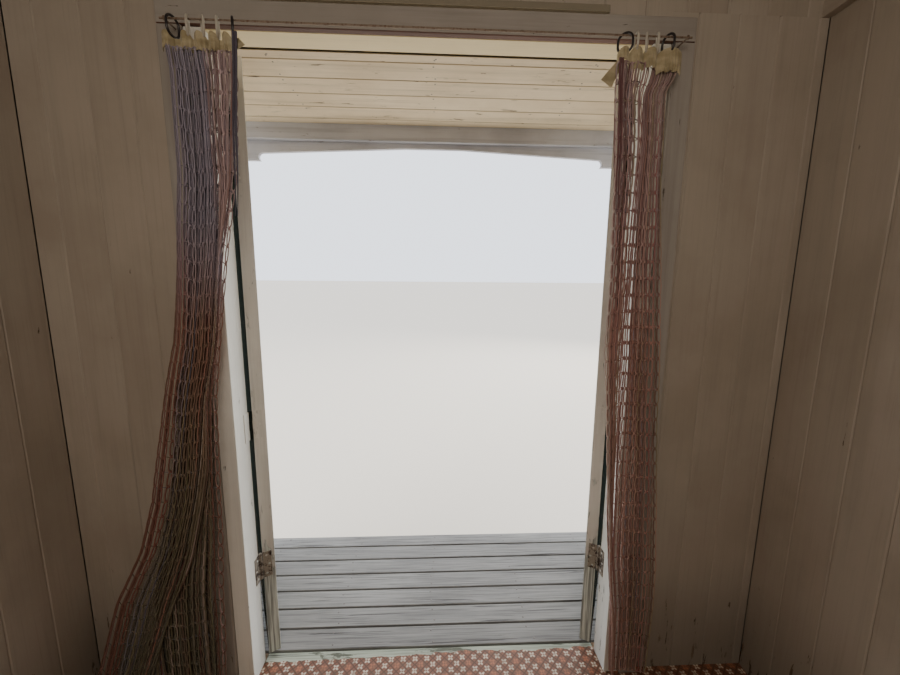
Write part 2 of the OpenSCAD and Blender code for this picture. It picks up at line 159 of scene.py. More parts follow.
class Finish(Nodes):
    """A material in the making, which starts as one colour and takes others in layers.

    Its pattern lies on the object's place. On wood it lies along the grain, and differs from board to board
    by their tone, a number from 0 to 1."""

    def __init__(self, name, colour, wood=False):
        self.material = bpy.data.materials.new(name)
        self.material.use_nodes = True
        super().__init__(self.material.node_tree)
        self.object_place = self.place = self.node("ShaderNodeTexCoord", output="Object")
        if wood:
            self.place, self.tone = self.attribute("fibre", "Vector"), self.attribute("tone")
        self.colour = colour

    def attribute(self, name, output="Fac"):
        return self.node("ShaderNodeAttribute", output=output, attribute_name=name)

    def noise(self, scale, shift=None, detail=3.0, rough=0.5, warp=0.0):
        """Noise from 0 to 1, with this many waves for each metre along X, Y and Z, moved along by shift."""
        scale = scale if hasattr(scale, "__len__") else (scale,) * 3
        place = self.node("ShaderNodeVectorMath", {0: self.place, 1: scale}, operation="MULTIPLY")
        if shift is not None:
            place = self.node("ShaderNodeVectorMath", {0: place, 1: self.vector(shift, shift, shift)},
                              operation="ADD")
        return self.node("ShaderNodeTexNoise", {"Vector": place, "Scale": 1.0, "Detail": detail,
                                                "Roughness": rough, "Distortion": warp})

    def grain(self, along, across, shift, *others):
        """Noise in wood, with this many waves along and across the grain. shift sets layers apart."""
        return self.noise((along, across, across), self.tone * shift, *others)

    def cells(self, scale):
        """0 in the middle of each of the cells that fill the piece, and more toward their edges."""
        return self.node("ShaderNodeTexVoronoi", {"Vector": self.place, "Scale": scale})

    def mix(self, mask, a, b):
        """Colour a where mask is 0 and colour b where it is 1."""
        a, b = [c if isinstance(c, Wire) else (*c, 1) for c in (a, b)]
        return self.node("ShaderNodeMix", {0: mask, 6: a, 7: b}, 2, data_type="RGBA")

    def lay(self, mask, colour):
        """Lays a colour over the ones so far, where mask is 1."""
        self.colour = self.mix(mask, self.colour, colour)

    def done(self, roughness, height=None, depth=0.001, **fixed):
        """Ends the material. height is 0 to 1 and depth is what 1 stands for, in metres."""
        colour = self.colour if isinstance(self.colour, Wire) else (*self.colour, 1)
        sockets = {"Base Color": colour, "Roughness": roughness}
        if height is not None:
            sockets["Normal"] = self.node("ShaderNodeBump", {"Height": height, "Distance": depth}, "Normal")
        sockets.update({key.replace("_", " "): value for key, value in fixed.items()})
        self.feed(self.tree.nodes["Principled BSDF"], sockets)
        return self.material


studio = bpy.data.meshes.new("studio_floor")
studio.from_pydata([(x * FLOOR_HALF, y * FLOOR_HALF, 0) for x, y in ((-1, -1), (1, -1), (1, 1), (-1, 1))], [],
                   [(0, 1, 2, 3)])
studio.materials.append(Finish("studio_floor", (0.80, 0.72, 0.60)).done(0.9))
link("studio_floor", studio)

world = bpy.data.worlds.new("sky")
world.use_nodes = True
Nodes(world.node_tree).feed(world.node_tree.nodes["Background"],
                            {"Color": (*SKY, 1), "Strength": SKY_STRENGTH})
bpy.context.scene.world = world

for name, (place, target, width, watts, colour) in LAMPS.items():
    lamp = bpy.data.lights.new(name, "AREA")
    lamp.size, lamp.energy, lamp.color = width, watts, colour
    aim = (Vector(place) - Vector(target)).to_track_quat("Z", "Y").to_matrix().to_4x4()
    link(name, lamp).matrix_world = Matrix.Translation(place) @ aim

# Pier blocks
# Twelve cast concrete blocks that stand on the ground, grey and rough, with pores and damp feet.
BLOCK_EDGE, WORN_ANGLE, FLAT_ANGLE, SAME_PLACE = 0.006, math.radians(25), math.radians(2), 1e-5


def grained(shape):
    """Gives each solid of a bmesh its own tone, from 0 to 1, and its grain along its longest side.

    The attribute fibre is the place of a point along the grain and across it."""
    tone, fibre = shape.verts.layers.float.new("tone"), shape.verts.layers.float_vector.new("fibre")
    draw = random.Random(len(shape.verts))
    left = set(shape.verts)
    for seed in shape.verts:
        if seed not in left:
            continue
        left.discard(seed)
        solid, at, shade = [seed], 0, draw.random()
        while at < len(solid):
            for e in solid[at].link_edges:
                other = e.other_vert(solid[at])
                if other in left:
                    left.discard(other)
                    solid.append(other)
            at += 1
        points = np.array([v.co for v in solid])
        spread = points - points.mean(0)
        axes = Matrix(np.linalg.eigh(spread.T @ spread)[1].T[::-1].tolist())
        for v in solid:
            v[tone], v[fibre] = shade, axes @ v.co


def mesh_of(name, shape, finish):
    """The mesh of a bmesh, which ends with it."""
    mesh = bpy.data.meshes.new(name)
    shape.to_mesh(mesh)
    shape.free()
    mesh.materials.append(finish)
    return mesh


def shown(piece, body, slot, *replaced):
    """A piece on its body, in place of CAD nodes."""
    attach(piece, body)
    if replaced:
        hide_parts(*replaced)
    return piece


def timbered(name, shape, edge, finish, slot, *replaced, body="hut", segments=2):
    """A piece from a bmesh of closed solids, with their corners worn round, in place of CAD nodes."""
    grained(shape)
    piece = link(name, mesh_of(name, shape, finish))
    bevel = piece.modifiers.new("worn_edges", "BEVEL")
    bevel.width, bevel.segments, bevel.limit_method, bevel.angle_limit = edge, segments, "ANGLE", WORN_ANGLE
    return shown(piece, body, slot, *replaced)


def cad_shape(name):
    """The shape of a CAD node as a bmesh, with its flat faces whole."""
    shape = bmesh.new()
    shape.from_mesh(nodes[name].data)
    bmesh.ops.remove_doubles(shape, verts=shape.verts, dist=SAME_PLACE)
    bmesh.ops.dissolve_limit(shape, angle_limit=FLAT_ANGLE, verts=shape.verts, edges=shape.edges)
    return shape


def softened(name, edge, finish, slot, segments=2):
    """A CAD node's own shape with its corners worn round, in place of the node."""
    return timbered(name + "_finished", cad_shape(name), edge, finish, slot, name, segments=segments,
                    body=nodes[name]["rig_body"])


concrete = Finish("concrete", (0.30, 0.29, 0.27))
x, y, z = concrete.axes(concrete.place)
cloud = concrete.noise(5, detail=5)
grit = concrete.noise(140, detail=2)
pores = concrete.cells(70).between(0, 0.22)
damp = 1 - (z + cloud * 0.12).between(0.05, 0.17)
concrete.lay(cloud, (0.47, 0.46, 0.43))
concrete.lay(damp * 0.6, (0.13, 0.14, 0.11))
concrete.lay((1 - pores) * 0.6, (0.12, 0.12, 0.11))
concrete = concrete.done(0.92 - damp * 0.1, pores * 0.7 + grit * 0.3, 0.003)
softened("pier_blocks", BLOCK_EDGE, concrete, "concrete")

# Bearers and joists
# Sawn softwood, rough from the saw and grown brown with age, nailed together. None of it is painted.
SAWN_EDGE, FRESH, BROWN = 0.0025, (0.36, 0.24, 0.14), (0.16, 0.095, 0.05)

sawn = Finish("sawn_timber", FRESH, wood=True)
rings = sawn.grain(0.7, 22, 40, 3, 0.6, 0.6)
fibres = sawn.grain(3, 130, 17, 4, 0.6)
marks = sawn.grain(90, 4, 9, 1)
knots = sawn.grain(2.2, 9, 71, 0).between(0.73, 0.79)
sawn.lay(rings.between(0.3, 0.7), BROWN)
sawn.lay(fibres * 0.5, BROWN)
sawn.lay(knots, (0.07, 0.042, 0.022))
sawn.lay(sawn.tone * 0.35, (0.25, 0.21, 0.17))
sawn = sawn.done(0.85, fibres * 0.6 + marks * 0.4, 0.0015)
for name in ("bearers", "floor_joists", "ceiling_joists"):
    softened(name, SAWN_EDGE, sawn, "frame_timber")

# Floor covering
# Thin printed sheet laid loose over the floor boards. Its small old pattern is a lattice of brown lines set
# cornerwise with a flower of four petals in each square: a row of cream ones, then a row of cream and rust
# in turn. Its worn front edge laps raggedly over the threshold.
FLOWERS = 0.045
LAP = ((-0.64, -0.38, -0.145, 0.068, 0.371, 0.64), (-0.882, -0.874, -0.882, -0.870, -0.865, -0.861))
LAP_CUTS, LAP_RAGGED, RAGS, COVERING_EDGE = 300, 0.007, 22, 0.0005

softened("floor_boards", SAWN_EDGE, sawn, "floor_wood")
covering = Finish("patterned_covering", (0.17, 0.062, 0.034))
x, y, z = covering.axes(covering.place)
blur = (covering.noise(90, detail=2) - 0.5) * 0.12
p, q = (x + y) / FLOWERS + blur, (x - y) / FLOWERS + blur
quarter = (p.math("FLOOR") + q.math("FLOOR")) * 0.25
rust = (quarter.math("FRACT") - 0.25).math("ABSOLUTE") < 0.1
dp, dq = p.math("FRACT") - 0.5, q.math("FRACT") - 0.5
lattice = dp.math("ABSOLUTE").math("MAXIMUM", dq.math("ABSOLUTE")).between(0.40, 0.46)
pp, qq = dp * dp, dq * dq
reach = (pp + qq).math("SQRT")
petal = ((pp - qq) / (pp + qq + 0.0001)).math("ABSOLUTE")
flower = ((0.05 + petal * 0.33) - reach).between(-0.04, 0.05) * (reach > 0.08)
rubbed = covering.noise(3.5, detail=5, rough=0.6)
dust = covering.noise(70, detail=4)
covering.lay(rubbed, (0.27, 0.115, 0.066))
covering.lay(lattice * 0.8, (0.075, 0.038, 0.02))
covering.lay(flower, covering.mix(rust, (0.62, 0.53, 0.42), (0.40, 0.15, 0.075)))
covering.lay(rubbed.between(0.55, 0.8) * 0.4, (0.29, 0.205, 0.14))
covering.lay(dust.between(0.48, 0.66) * 0.5, (0.12, 0.08, 0.055))
covering = covering.done(0.52 + dust * 0.3, flower * 0.3 + rubbed * 0.7, 0.0008)
sheet = cad_shape("floor_covering")
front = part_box("floor_covering")[0].y + 0.001
edges = [e for e in sheet.edges if e.calc_length() > 0.1 and max(v.co.y for v in e.verts) < front]
bmesh.ops.subdivide_edges(sheet, edges=edges, cuts=LAP_CUTS)
for v in sheet.verts:
    if v.co.y < front:
        v.co.y = np.interp(v.co.x, *LAP) + LAP_RAGGED * noise.fractal((v.co.x * RAGS, 0, 0), 0.8, 2.1, 5)
timbered("floor_covering_laid", sheet, COVERING_EDGE, covering, "patterned_covering", "floor_covering",
         segments=1)

# Deck and threshold
# Planks across the porch, screwed to the joists with open gaps. Their blue-grey paint has weathered into
# the grain and shows dark cracks. The threshold is the board in the doorway, painted pale green.
DECK_EDGE, THRESHOLD_EDGE = 0.003, 0.004
DECK_PITCH, DECK_BOARD, JOISTS, JOIST_INSET = 0.097, 0.089, 7, 0.025
NAIL_R, NAIL_RISE, NAIL_INSET, NAIL_STRAYS = 0.0042, 0.0012, 0.020, (0.012, 0.004)


class Shaping(Nodes):
    """A Geometry Nodes tree with these inputs, by their usual values, and the material Finish.

    run() turns what it makes into a plain mesh."""

    KINDS = {float: "NodeSocketFloat", int: "NodeSocketInt", type(None): "NodeSocketMaterial"}

    def __init__(self, name, **inputs):
        super().__init__(bpy.data.node_groups.new(name, "GeometryNodeTree"))
        face = self.tree.interface
        for way in ("INPUT", "OUTPUT"):
            face.new_socket("Geometry", in_out=way, socket_type="NodeSocketGeometry")
        inputs["Finish"] = None
        self.usual = inputs
        self.sockets = {
            key: face.new_socket(key, in_out="INPUT", socket_type=self.KINDS[type(value)]).identifier
            for key, value in inputs.items()}
        entry = self.tree.nodes.new("NodeGroupInput")
        self.given = SimpleNamespace(**{key: Wire(self, entry.outputs[key]) for key in inputs})
        self.start = Wire(self, entry.outputs["Geometry"])

    def named(self, name, kind):
        """An attribute of the points."""
        return self.node("GeometryNodeInputNamedAttribute", {"Name": name}, data_type=kind)

    def stored(self, geometry, name, value, kind="FLOAT", domain="POINT"):
        """The same geometry with an attribute."""
        return self.node("GeometryNodeStoreNamedAttribute",
                         {"Geometry": geometry, "Name": name, "Value": value}, data_type=kind, domain=domain)

    def moved(self, geometry, x, y, z):
        """The same geometry with its points at these places."""
        return self.node("GeometryNodeSetPosition", {"Geometry": geometry, "Position": self.vector(x, y, z)})

    def finish(self, geometry):
        """Ends the tree: instances become real and take the material."""
        real = self.node("GeometryNodeRealizeInstances", {0: geometry})
        coated = self.node("GeometryNodeSetMaterial", {"Geometry": real, "Material": self.given.Finish})
        self.feed(self.tree.nodes.new("NodeGroupOutput"), {0: coated})

    def run(self, base=None, **values):
        """The mesh that the tree makes from these values, or the usual ones, and from a base mesh if any."""
        holder = link("holder", base or bpy.data.meshes.new("holder"))
        modifier = holder.modifiers.new("shaping", "NODES")
        modifier.node_group = self.tree
        for key, value in {**self.usual, **values}.items():
            modifier[self.sockets[key]] = value
        holder.update_tag()
        scene = bpy.context.evaluated_depsgraph_get()
        mesh = bpy.data.meshes.new_from_object(holder.evaluated_get(scene), preserve_all_data_layers=True,
                                               depsgraph=scene)
        bpy.data.objects.remove(holder)
        return mesh


def joined(name, meshes, body, slot, *replaced):
    """One piece from several meshes, in place of CAD nodes."""
    whole = bmesh.new()
    finishes = []
    for mesh in meshes:
        first = len(whole.faces)
        whole.from_mesh(mesh)
        whole.faces.ensure_lookup_table()
        for face in whole.faces[first:]:
            finish = mesh.materials[face.material_index]
            if finish not in finishes:
                finishes.append(finish)
            face.material_index = finishes.index(finish)
    mesh = mesh_of(name, whole, finishes[0])
    for finish in finishes[1:]:
        mesh.materials.append(finish)
    return shown(link(name, mesh), body, slot, *replaced)


# A round head at each point, that looks along the point's outward attribute
heads = Shaping("nail_heads", Radius=0.0, Rise=0.0)
g = heads.given
ball = heads.node("GeometryNodeMeshIcoSphere", {"Radius": 1.0, "Subdivisions": 2})
outward = heads.named("outward", "FLOAT_VECTOR")
heads.finish(heads.node("GeometryNodeInstanceOnPoints", {
    "Points": heads.start, "Instance": ball, "Scale": heads.vector(g.Radius, g.Radius, g.Rise),
    "Rotation": heads.node("FunctionNodeAlignRotationToVector", {"Vector": outward}, axis="Z")}))


def give(mesh, name, values):
    """Gives each point of a mesh a number or a vector of its own, as an attribute."""
    values = np.array(values).ravel()
    if len(values) > len(mesh.vertices):
        mesh.attributes.new(name, "FLOAT_VECTOR", "POINT").data.foreach_set("vector", values)
    else:
        mesh.attributes.new(name, "FLOAT", "POINT").data.foreach_set("value", values)


def nailed(name, places, radius, rise, finish, slot, body="hut"):
    """Nail or screw heads: places is a list of points, each with the way it looks."""
    base = bpy.data.meshes.new("places")
    base.from_pydata([p for p, _ in places], [], [])
    give(base, "outward", [way for _, way in places])
    return joined(name, [heads.run(base, Radius=radius, Rise=rise, Finish=finish)], body, slot)


def lit(colour, share):
    """A colour with this share of its light."""
    return [c * share for c in colour]


def weathered(name, light, dark, flakes=0.0, bare=(0.2, 0.16, 0.12)):
    """Thin old paint that has sunk into the grain of a board, with dark cracks along it."""
    coat = Finish(name, light, wood=True)
    grain = coat.grain(3.5, 190, 19, 5, 0.65, 0.3)
    broad = coat.grain(1.1, 17, 37, 5, 0.65, 0.8)
    cloud = coat.grain(3.1, 3.1, 5, 4, 0.6)
    crack = coat.grain(1.8, 85, 53, 3, 0.55, 0.5).between(0.64, 0.69)
    flake = coat.grain(6, 34, 29, 5, 0.7, 0.5)
    gone = flake.between(0.7 - 0.2 * flakes, 0.74 - 0.2 * flakes) * (1 if flakes else 0)
    coat.lay(broad.between(0.32, 0.68), dark)
    coat.lay(cloud.between(0.4, 0.75) * 0.5, lit(light, 1.25))
    coat.lay((1 - grain).between(0.5, 0.68) * 0.5, lit(light, 1.4))
    coat.lay(grain.between(0.48, 0.66) * 0.75, lit(dark, 0.5))
    coat.lay(coat.tone * 0.35, lit(dark, 0.8))
    coat.lay(gone, coat.mix(grain, lit(bare, 0.6), bare))
    coat.lay(crack * 0.8, (0.045, 0.04, 0.04))
    return coat.done(0.7 + grain * 0.2, grain * 0.25 + (1 - crack) * 0.5 + (1 - gone) * 0.25, 0.0018)


deck_paint = weathered("deck_paint", (0.295, 0.29, 0.272), (0.21, 0.205, 0.195))
threshold_paint = weathered("threshold_paint", (0.44, 0.47, 0.38), (0.31, 0.345, 0.27), 0.75,
                            (0.14, 0.15, 0.11))
softened("deck_boards", DECK_EDGE, deck_paint, "deck_wood", segments=3)
softened("threshold", THRESHOLD_EDGE, threshold_paint, "threshold_paint", segments=3)
steel = Finish("galvanised_nail", (0.32, 0.32, 0.32))
spots = steel.noise(260, detail=2)
steel.lay(spots, (0.14, 0.10, 0.075))
steel = steel.done(spots * 0.3 + 0.45, Metallic=0.7)
nail_draw = random.Random(6)


def stray(most):
    """A random step to one side or the other, of this length at most."""
    return nail_draw.uniform(-most, most)


(x0, y0, z0), (x1, y1, z1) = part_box("deck_boards")
deck_nails = []
for back in np.arange(y1, y0 + DECK_PITCH / 2, -DECK_PITCH):
    for y in (back - NAIL_INSET, max(back - DECK_BOARD, y0) + NAIL_INSET):
        deck_nails += [((x + stray(NAIL_STRAYS[0]), y + stray(NAIL_STRAYS[1]), z1), (0, 0, 1))
                       for x in np.linspace(x0 + JOIST_INSET, x1 - JOIST_INSET, JOISTS)]
nailed("deck_nails", deck_nails, NAIL_R, NAIL_RISE, steel, "deck_wood")

# Walls
# Upright matchboards with V joints, nailed on both faces of a stud frame and painted: 121 mm a board.
# Boards of 14 mm lie on each face of the studs, so that the wall has its full thickness.
BOARD_PITCH, SKIN, GROOVE = 0.121, 0.014, 0.0035
LEFT_JOINT, RIGHT_JOINT = -0.890, 0.963  # a joint of the boards on each side of the doorway, in x
ROOF_ANGLE, ROOF_PEAK = math.radians(44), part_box("front_wall_gable")[1].z
inside_y, back_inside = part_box("front_wall_gable")[1].y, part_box("back_wall")[0].y
inner_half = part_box("side_wall_right")[0].x
# Each wall: how far its outer face is turned about Z from -Y, in degrees, and what its boards count from
WALLS = {
    "front_wall_left": (0, LEFT_JOINT), "front_wall_right": (0, RIGHT_JOINT),
    "front_wall_over_door": (0, RIGHT_JOINT), "front_wall_gable": (0, RIGHT_JOINT), "porch_gable": (0, 0.0),
    "back_wall": (180, 0.0), "back_gable": (180, 0.0), "side_wall_left": (270, inside_y),
    "side_wall_right": (90, inside_y),
}

# Boards side by side along X from From to To, with joints at Start and every Pitch from there. They stand
# from Bottom to the lower of Top and a roof line, and their faces look to -Y with a groove at each joint.
boards = Shaping("matchboards", From=0.0, To=0.0, Start=0.0, Pitch=BOARD_PITCH, Bottom=0.0, Top=0.0,
                 Peak=100.0, Slope=0.0, Skin=SKIN, Groove=GROOVE, Cuts=2, Ragged=0.0, Seed=0)
g = boards.given
where = boards.node("GeometryNodeInputPosition")
x, y, z = boards.axes(where)
edge = x.math("ABSOLUTE") > 0.4
slab = boards.node("GeometryNodeMeshCube", {"Size": (1, 1, 1), "Vertices X": 4, "Vertices Z": g.Cuts})
slab = boards.stored(slab, "joint", edge)
slab = boards.moved(slab, x.math("SIGN") * (g.Pitch * 0.5 - (1 - edge) * g.Groove),
                    (y < 0.0) * (edge * g.Groove - g.Skin), g.Bottom + (z + 0.5) * (g.Top - g.Bottom))
first = ((g.From - g.Start) / g.Pitch).math("FLOOR")
last = ((g.To - g.Start) / g.Pitch).math("CEIL")
places = boards.node("GeometryNodeMeshLine", {
    "Count": last - first, "Offset": boards.vector(g.Pitch, 0.0, 0.0),
    "Start Location": boards.vector(g.Start + (first + 0.5) * g.Pitch, 0.0, 0.0)})
row = boards.node("GeometryNodeInputIndex") + first
chance = boards.node("FunctionNodeRandomValue", {"ID": row, "Seed": g.Seed}, 1, data_type="FLOAT")
placed = boards.node("GeometryNodeInstanceOnPoints", {
    "Points": places, "Instance": slab, "Scale": boards.vector(1.0, 0.97 + chance * 0.05, 1.0)})
placed = boards.stored(placed, "tone", chance, domain="INSTANCE")
real = boards.node("GeometryNodeRealizeInstances", {0: placed})
chipped = boards.node("ShaderNodeTexNoise", {"Vector": where, "Scale": 24.0, "Detail": 4.0, "Roughness": 0.7})
cut_x = x.math("MAXIMUM", g.From).math("MINIMUM", g.To + (chipped - 0.5) * g.Ragged)
real = boards.moved(real, cut_x, y, z.math("MINIMUM", g.Peak - cut_x.math("ABSOLUTE") * g.Slope))
boards.finish(boards.stored(real, "fibre", boards.vector(z, x, y), "FLOAT_VECTOR"))


def board_row(low, high, joint, bottom, top, finish, **others):
    return boards.run(From=low, To=high, Start=joint, Bottom=bottom, Top=top, Finish=finish, **others)


def painted(name, paint, shade, chips=0.0, grime=0.4, bare=(0.20, 0.155, 0.11), rough=0.6, foot=None,
            knots=0.0, shine=0.3, joints=0.0, foot_loss=0.12):
    """Old paint on boards: brushed along the grain, uneven, dirty, and flaked to the wood where chips says.

    chips, grime, knots and joints, the dirt between boards, go from 0 to 1. Below foot, a height, the paint
    is dirtier and more worn."""
    coat = Finish(name, paint, wood=True)
    fine = coat.grain(4, 160, 17, 3, 0.6)
    streak = coat.grain(1.3, 28, 31, 4, 0.6)
    cloud = coat.grain(2.3, 2.3, 3, 5, 0.6)
    flake = coat.grain(9, 45, 23, 5, 0.65, 0.4) + streak * 0.25
    coat.lay(cloud.between(0.35, 0.7), shade)
    coat.lay(streak.between(0.45, 0.8) * (0.75 * grime), lit(shade, 0.62))
    coat.lay(coat.tone * 0.3, shade)
    coat.lay(fine.between(0.5, 0.8) * 0.25, lit(shade, 0.7))
    if knots:
        knot = coat.grain(10, 34, 43, 1, 0.5, 0.4).between(0.70, 0.78)
        coat.lay(knot * knots, lit(shade, 0.4))
    if foot is not None:
        worn = 1 - (coat.axes(coat.object_place)[2] + cloud * 0.25).between(foot, foot + 0.45)
        coat.lay(worn * 0.55, lit(shade, 0.42))
        flake = flake + worn * foot_loss
    if joints:
        coat.lay(coat.attribute("joint").between(0.2, 0.8) * joints, lit(shade, 0.16))
    edge = 0.90 - 0.2 * chips
    coat.lay(flake.between(edge - 0.04, edge - 0.02) * 0.5, lit(shade, 0.5))
    lost = flake.between(edge - 0.02, edge)
    coat.lay(lost, coat.mix(fine.between(0.38, 0.6), lit(bare, 0.4), bare))
    return coat.done(rough + lost * 0.3 + fine * 0.1, fine * 0.25 + (1 - lost) * 0.6 + cloud * 0.15, 0.0012,
                     Specular_IOR_Level=shine)


inside_paint = painted("inside_paint", (0.475, 0.425, 0.36), (0.39, 0.34, 0.28), 0.1, 0.4, foot=0.6)
outside_paint = painted("outside_paint", (0.40, 0.46, 0.44), (0.30, 0.345, 0.33), 0.5, 0.8, foot=0.45,
                        joints=0.6)
for name, (outer, joint) in WALLS.items():
    (x0, y0, z0), (x1, y1, z1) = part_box(name)
    sideways = outer in (90, 270)
    low, high = (y0, y1) if sideways else (x0, x1)
    cut = {"Peak": ROOF_PEAK, "Slope": math.tan(ROOF_ANGLE)} if "gable" in name else {}
    skins = []
    for turn in (outer, (outer + 180) % 360):
        finish = outside_paint if turn == outer or name == "porch_gable" else inside_paint
        if finish == inside_paint:
            inner = (inside_y, back_inside) if sideways else (-inner_half, inner_half)
            low, high = max(low, inner[0]), min(high, inner[1])
        # Half a turn or more makes a row run toward -X or -Y
        ends = (-high, -low, -joint) if turn >= 180 else (low, high, joint)
        mesh = board_row(*ends, z0, z1, finish, Seed=turn, **cut)
        face = {0: -y0, 90: x1, 180: y1, 270: -x0}[turn]
        mesh.transform(Matrix.Rotation(math.radians(turn), 4, "Z") @ Matrix.Translation((0, SKIN - face, 0)))
        skins.append(mesh)
    joined(name + "_boards", skins, "hut", "outside_paint", name)

# Skirts, corner boards, eaves and barge boards
# Planed boards that close the floor's edges, the corners and the ends of the roof. The skirts are pale
# blue-green as the walls are, and the trim is white, flaked at its lower ends.
TRIM_EDGE = 0.003

white_paint = painted("white_paint", (0.60, 0.60, 0.56), (0.46, 0.46, 0.42), 0.5, 0.7, foot=0.45)
skirt_paint = painted("skirt_paint", (0.38, 0.43, 0.41), (0.28, 0.315, 0.30), 0.6, 0.9)
for name in ("corner_boards", "barge_boards", "eaves_boards"):
    softened(name, TRIM_EDGE, white_paint, "white_paint")
for name in ("skirt_sides", "skirt_ends"):
    softened(name, TRIM_EDGE, skirt_paint, "outside_paint")

# Porch posts, beam and arched board
# Two square posts carry a beam. The arched board is nailed to its front and was sawn from one wide board:
# a shallow arch with a round nick and a straight end at each side. Dull lilac-grey paint, streaked.
ARCH_EDGE = 0.0025

beam_paint = painted("porch_beam_paint", (0.58, 0.58, 0.62), (0.425, 0.42, 0.45), 0.4, 1.0)
softened("porch_posts", TRIM_EDGE, white_paint, "white_paint")
softened("porch_beam", TRIM_EDGE, beam_paint, "porch_beam_paint")
softened("porch_arch", ARCH_EDGE, beam_paint, "porch_beam_paint", segments=3)

# Porch ceiling
# Boards of 119 mm across the porch, nailed up to joists and painted cream. The first board has split along
# its length and left a ragged gap just past the head of the doorway. The edge beyond it is painted dark
# grey, as painted shade in the gap.
CEILING_PITCH, CEILING_JOINT, SPLIT, SPLIT_RAGGED = 0.119, -1.0355, (-0.970, -0.989), 0.022
CEILING_GROOVE, CEILING_CUTS, CEILING_JOISTS, OUTER_JOIST = 0.004, 240, 5, 1.1125
PIN_R, PIN_RISE, PIN_STRAY, NAILED_JOINTS = 0.0035, 0.0008, 0.01, 4

ceiling_paint = painted("porch_ceiling_paint", (0.78, 0.65, 0.455), (0.635, 0.51, 0.34), 0.5, 0.9,
                        knots=0.6, joints=0.9)
# Painted shade: the split's far edge is dark grey, for the shade that falls in the gap
split_wood = painted("split_wood", (0.12, 0.12, 0.095), (0.05, 0.05, 0.042), 0.2, 0.9)
(x0, y0, z0), (x1, y1, z1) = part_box("porch_ceiling")
ceiling = []
for number, (low, high, ragged) in enumerate(((-y1, -SPLIT[0], SPLIT_RAGGED), (-SPLIT[1], -y0, 0.0))):
    mesh = board_row(low, high, -CEILING_JOINT, x0, x1, ceiling_paint, Pitch=CEILING_PITCH, Skin=z1 - z0,
                     Groove=CEILING_GROOVE, Cuts=CEILING_CUTS, Ragged=ragged, Seed=number)
    # Along the row is to the front, the boards' length is to the right, and their face looks down
    mesh.transform(Matrix(((0, 0, 1, 0), (-1, 0, 0, 0), (0, 1, 0, z1), (0, 0, 0, 1))))
    ceiling.append(mesh)


def faced(piece, way, finish):
    """Gives another finish to the faces of a piece that look this way."""
    piece.data.materials.append(finish)
    for face in piece.data.polygons:
        if face.normal.dot(way) > 0.9:
            face.material_index = len(piece.data.materials) - 1


ceiling = joined("porch_ceiling_boards", ceiling, "hut", "porch_paint", "porch_ceiling")
faced(ceiling, Vector((0, 1, 0)), split_wood)
joints = [(SPLIT[1], -1)] + [(CEILING_JOINT - k * CEILING_PITCH, way) for k in range(NAILED_JOINTS)
                               for way in (-1, 1)]
places = [((x + stray(PIN_STRAY), y + way * NAIL_INSET, z0), (0, 0, -1))
          for x in np.linspace(-OUTER_JOIST, OUTER_JOIST, CEILING_JOISTS) for y, way in joints]
nailed("ceiling_nails", places, PIN_R, PIN_RISE, steel, "porch_paint")

# Doorway
# Two posts and a head stand in the wall, with a flat casing round them in the room and a thin batten over
# it. The posts' white paint is chipped at the foot, and the head is cream like the porch ceiling, painted
# lighter than it as painted light. The casing's under-edge is coloured dark red-brown, and the batten's
# under-edge is painted light against the shade under it.
CASING_W, CASING_EDGE, BATTEN_EDGE = 0.065, 0.004, 0.002

post_paint = painted("door_post_paint", (0.90, 0.91, 0.85), (0.80, 0.80, 0.74), 0.35, 0.35, rough=0.5,
                     foot=0.27)
# Painted light: the head takes the ceiling's cream made lighter, for the light that falls up on it
head_lit_paint = painted("door_head_paint", (0.96, 0.82, 0.51), (0.87, 0.73, 0.44), 0.3, 0.3)
casing_paint = painted("casing_paint", (0.41, 0.385, 0.35), (0.33, 0.305, 0.27), 0.4, 0.8, foot=0.3)
under_paint = painted("casing_under_edge", (0.17, 0.09, 0.065), (0.11, 0.06, 0.045), 0.2, 0.4)
batten_paint = painted("batten_paint", (0.29, 0.26, 0.195), (0.24, 0.215, 0.16), 0.2, 0.5)
# Painted light: the batten's under-edge is light, against the shade that falls under it
batten_under_lit = painted("batten_under_edge", (0.85, 0.78, 0.60), (0.75, 0.68, 0.52), 0.0, 0.2)
for name in ("door_post_left", "door_post_right"):
    softened(name, TRIM_EDGE, post_paint, "white_paint", segments=3)
softened("door_head", TRIM_EDGE, head_lit_paint, "porch_paint", segments=3)
batten = softened("head_batten", BATTEN_EDGE, batten_paint, "batten_paint")


def add_box(shape, low, high):
    """A closed box in a bmesh, such as a board."""
    corners = [shape.verts.new((x, y, z)) for x in (low[0], high[0]) for y in (low[1], high[1])
               for z in (low[2], high[2])]
    for face in ((0, 1, 3, 2), (4, 6, 7, 5), (0, 4, 5, 1), (2, 3, 7, 6), (0, 2, 6, 4), (1, 5, 7, 3)):
        shape.faces.new([corners[i] for i in face])


(x0, y0, z0), (x1, y1, z1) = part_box("architrave")
casing = bmesh.new()
add_box(casing, (x0, y0, z0), (x0 + CASING_W, y1, z1 - CASING_W))
add_box(casing, (x1 - CASING_W, y0, z0), (x1, y1, z1 - CASING_W))
add_box(casing, (x0, y0, z1 - CASING_W), (x1, y1, z1))
casing = timbered("architrave_boards", casing, CASING_EDGE, casing_paint, "inside_paint", "architrave",
                  segments=3)
for piece, finish in ((casing, under_paint), (batten, batten_under_lit)):
    faced(piece, Vector((0, 0, -1)), finish)

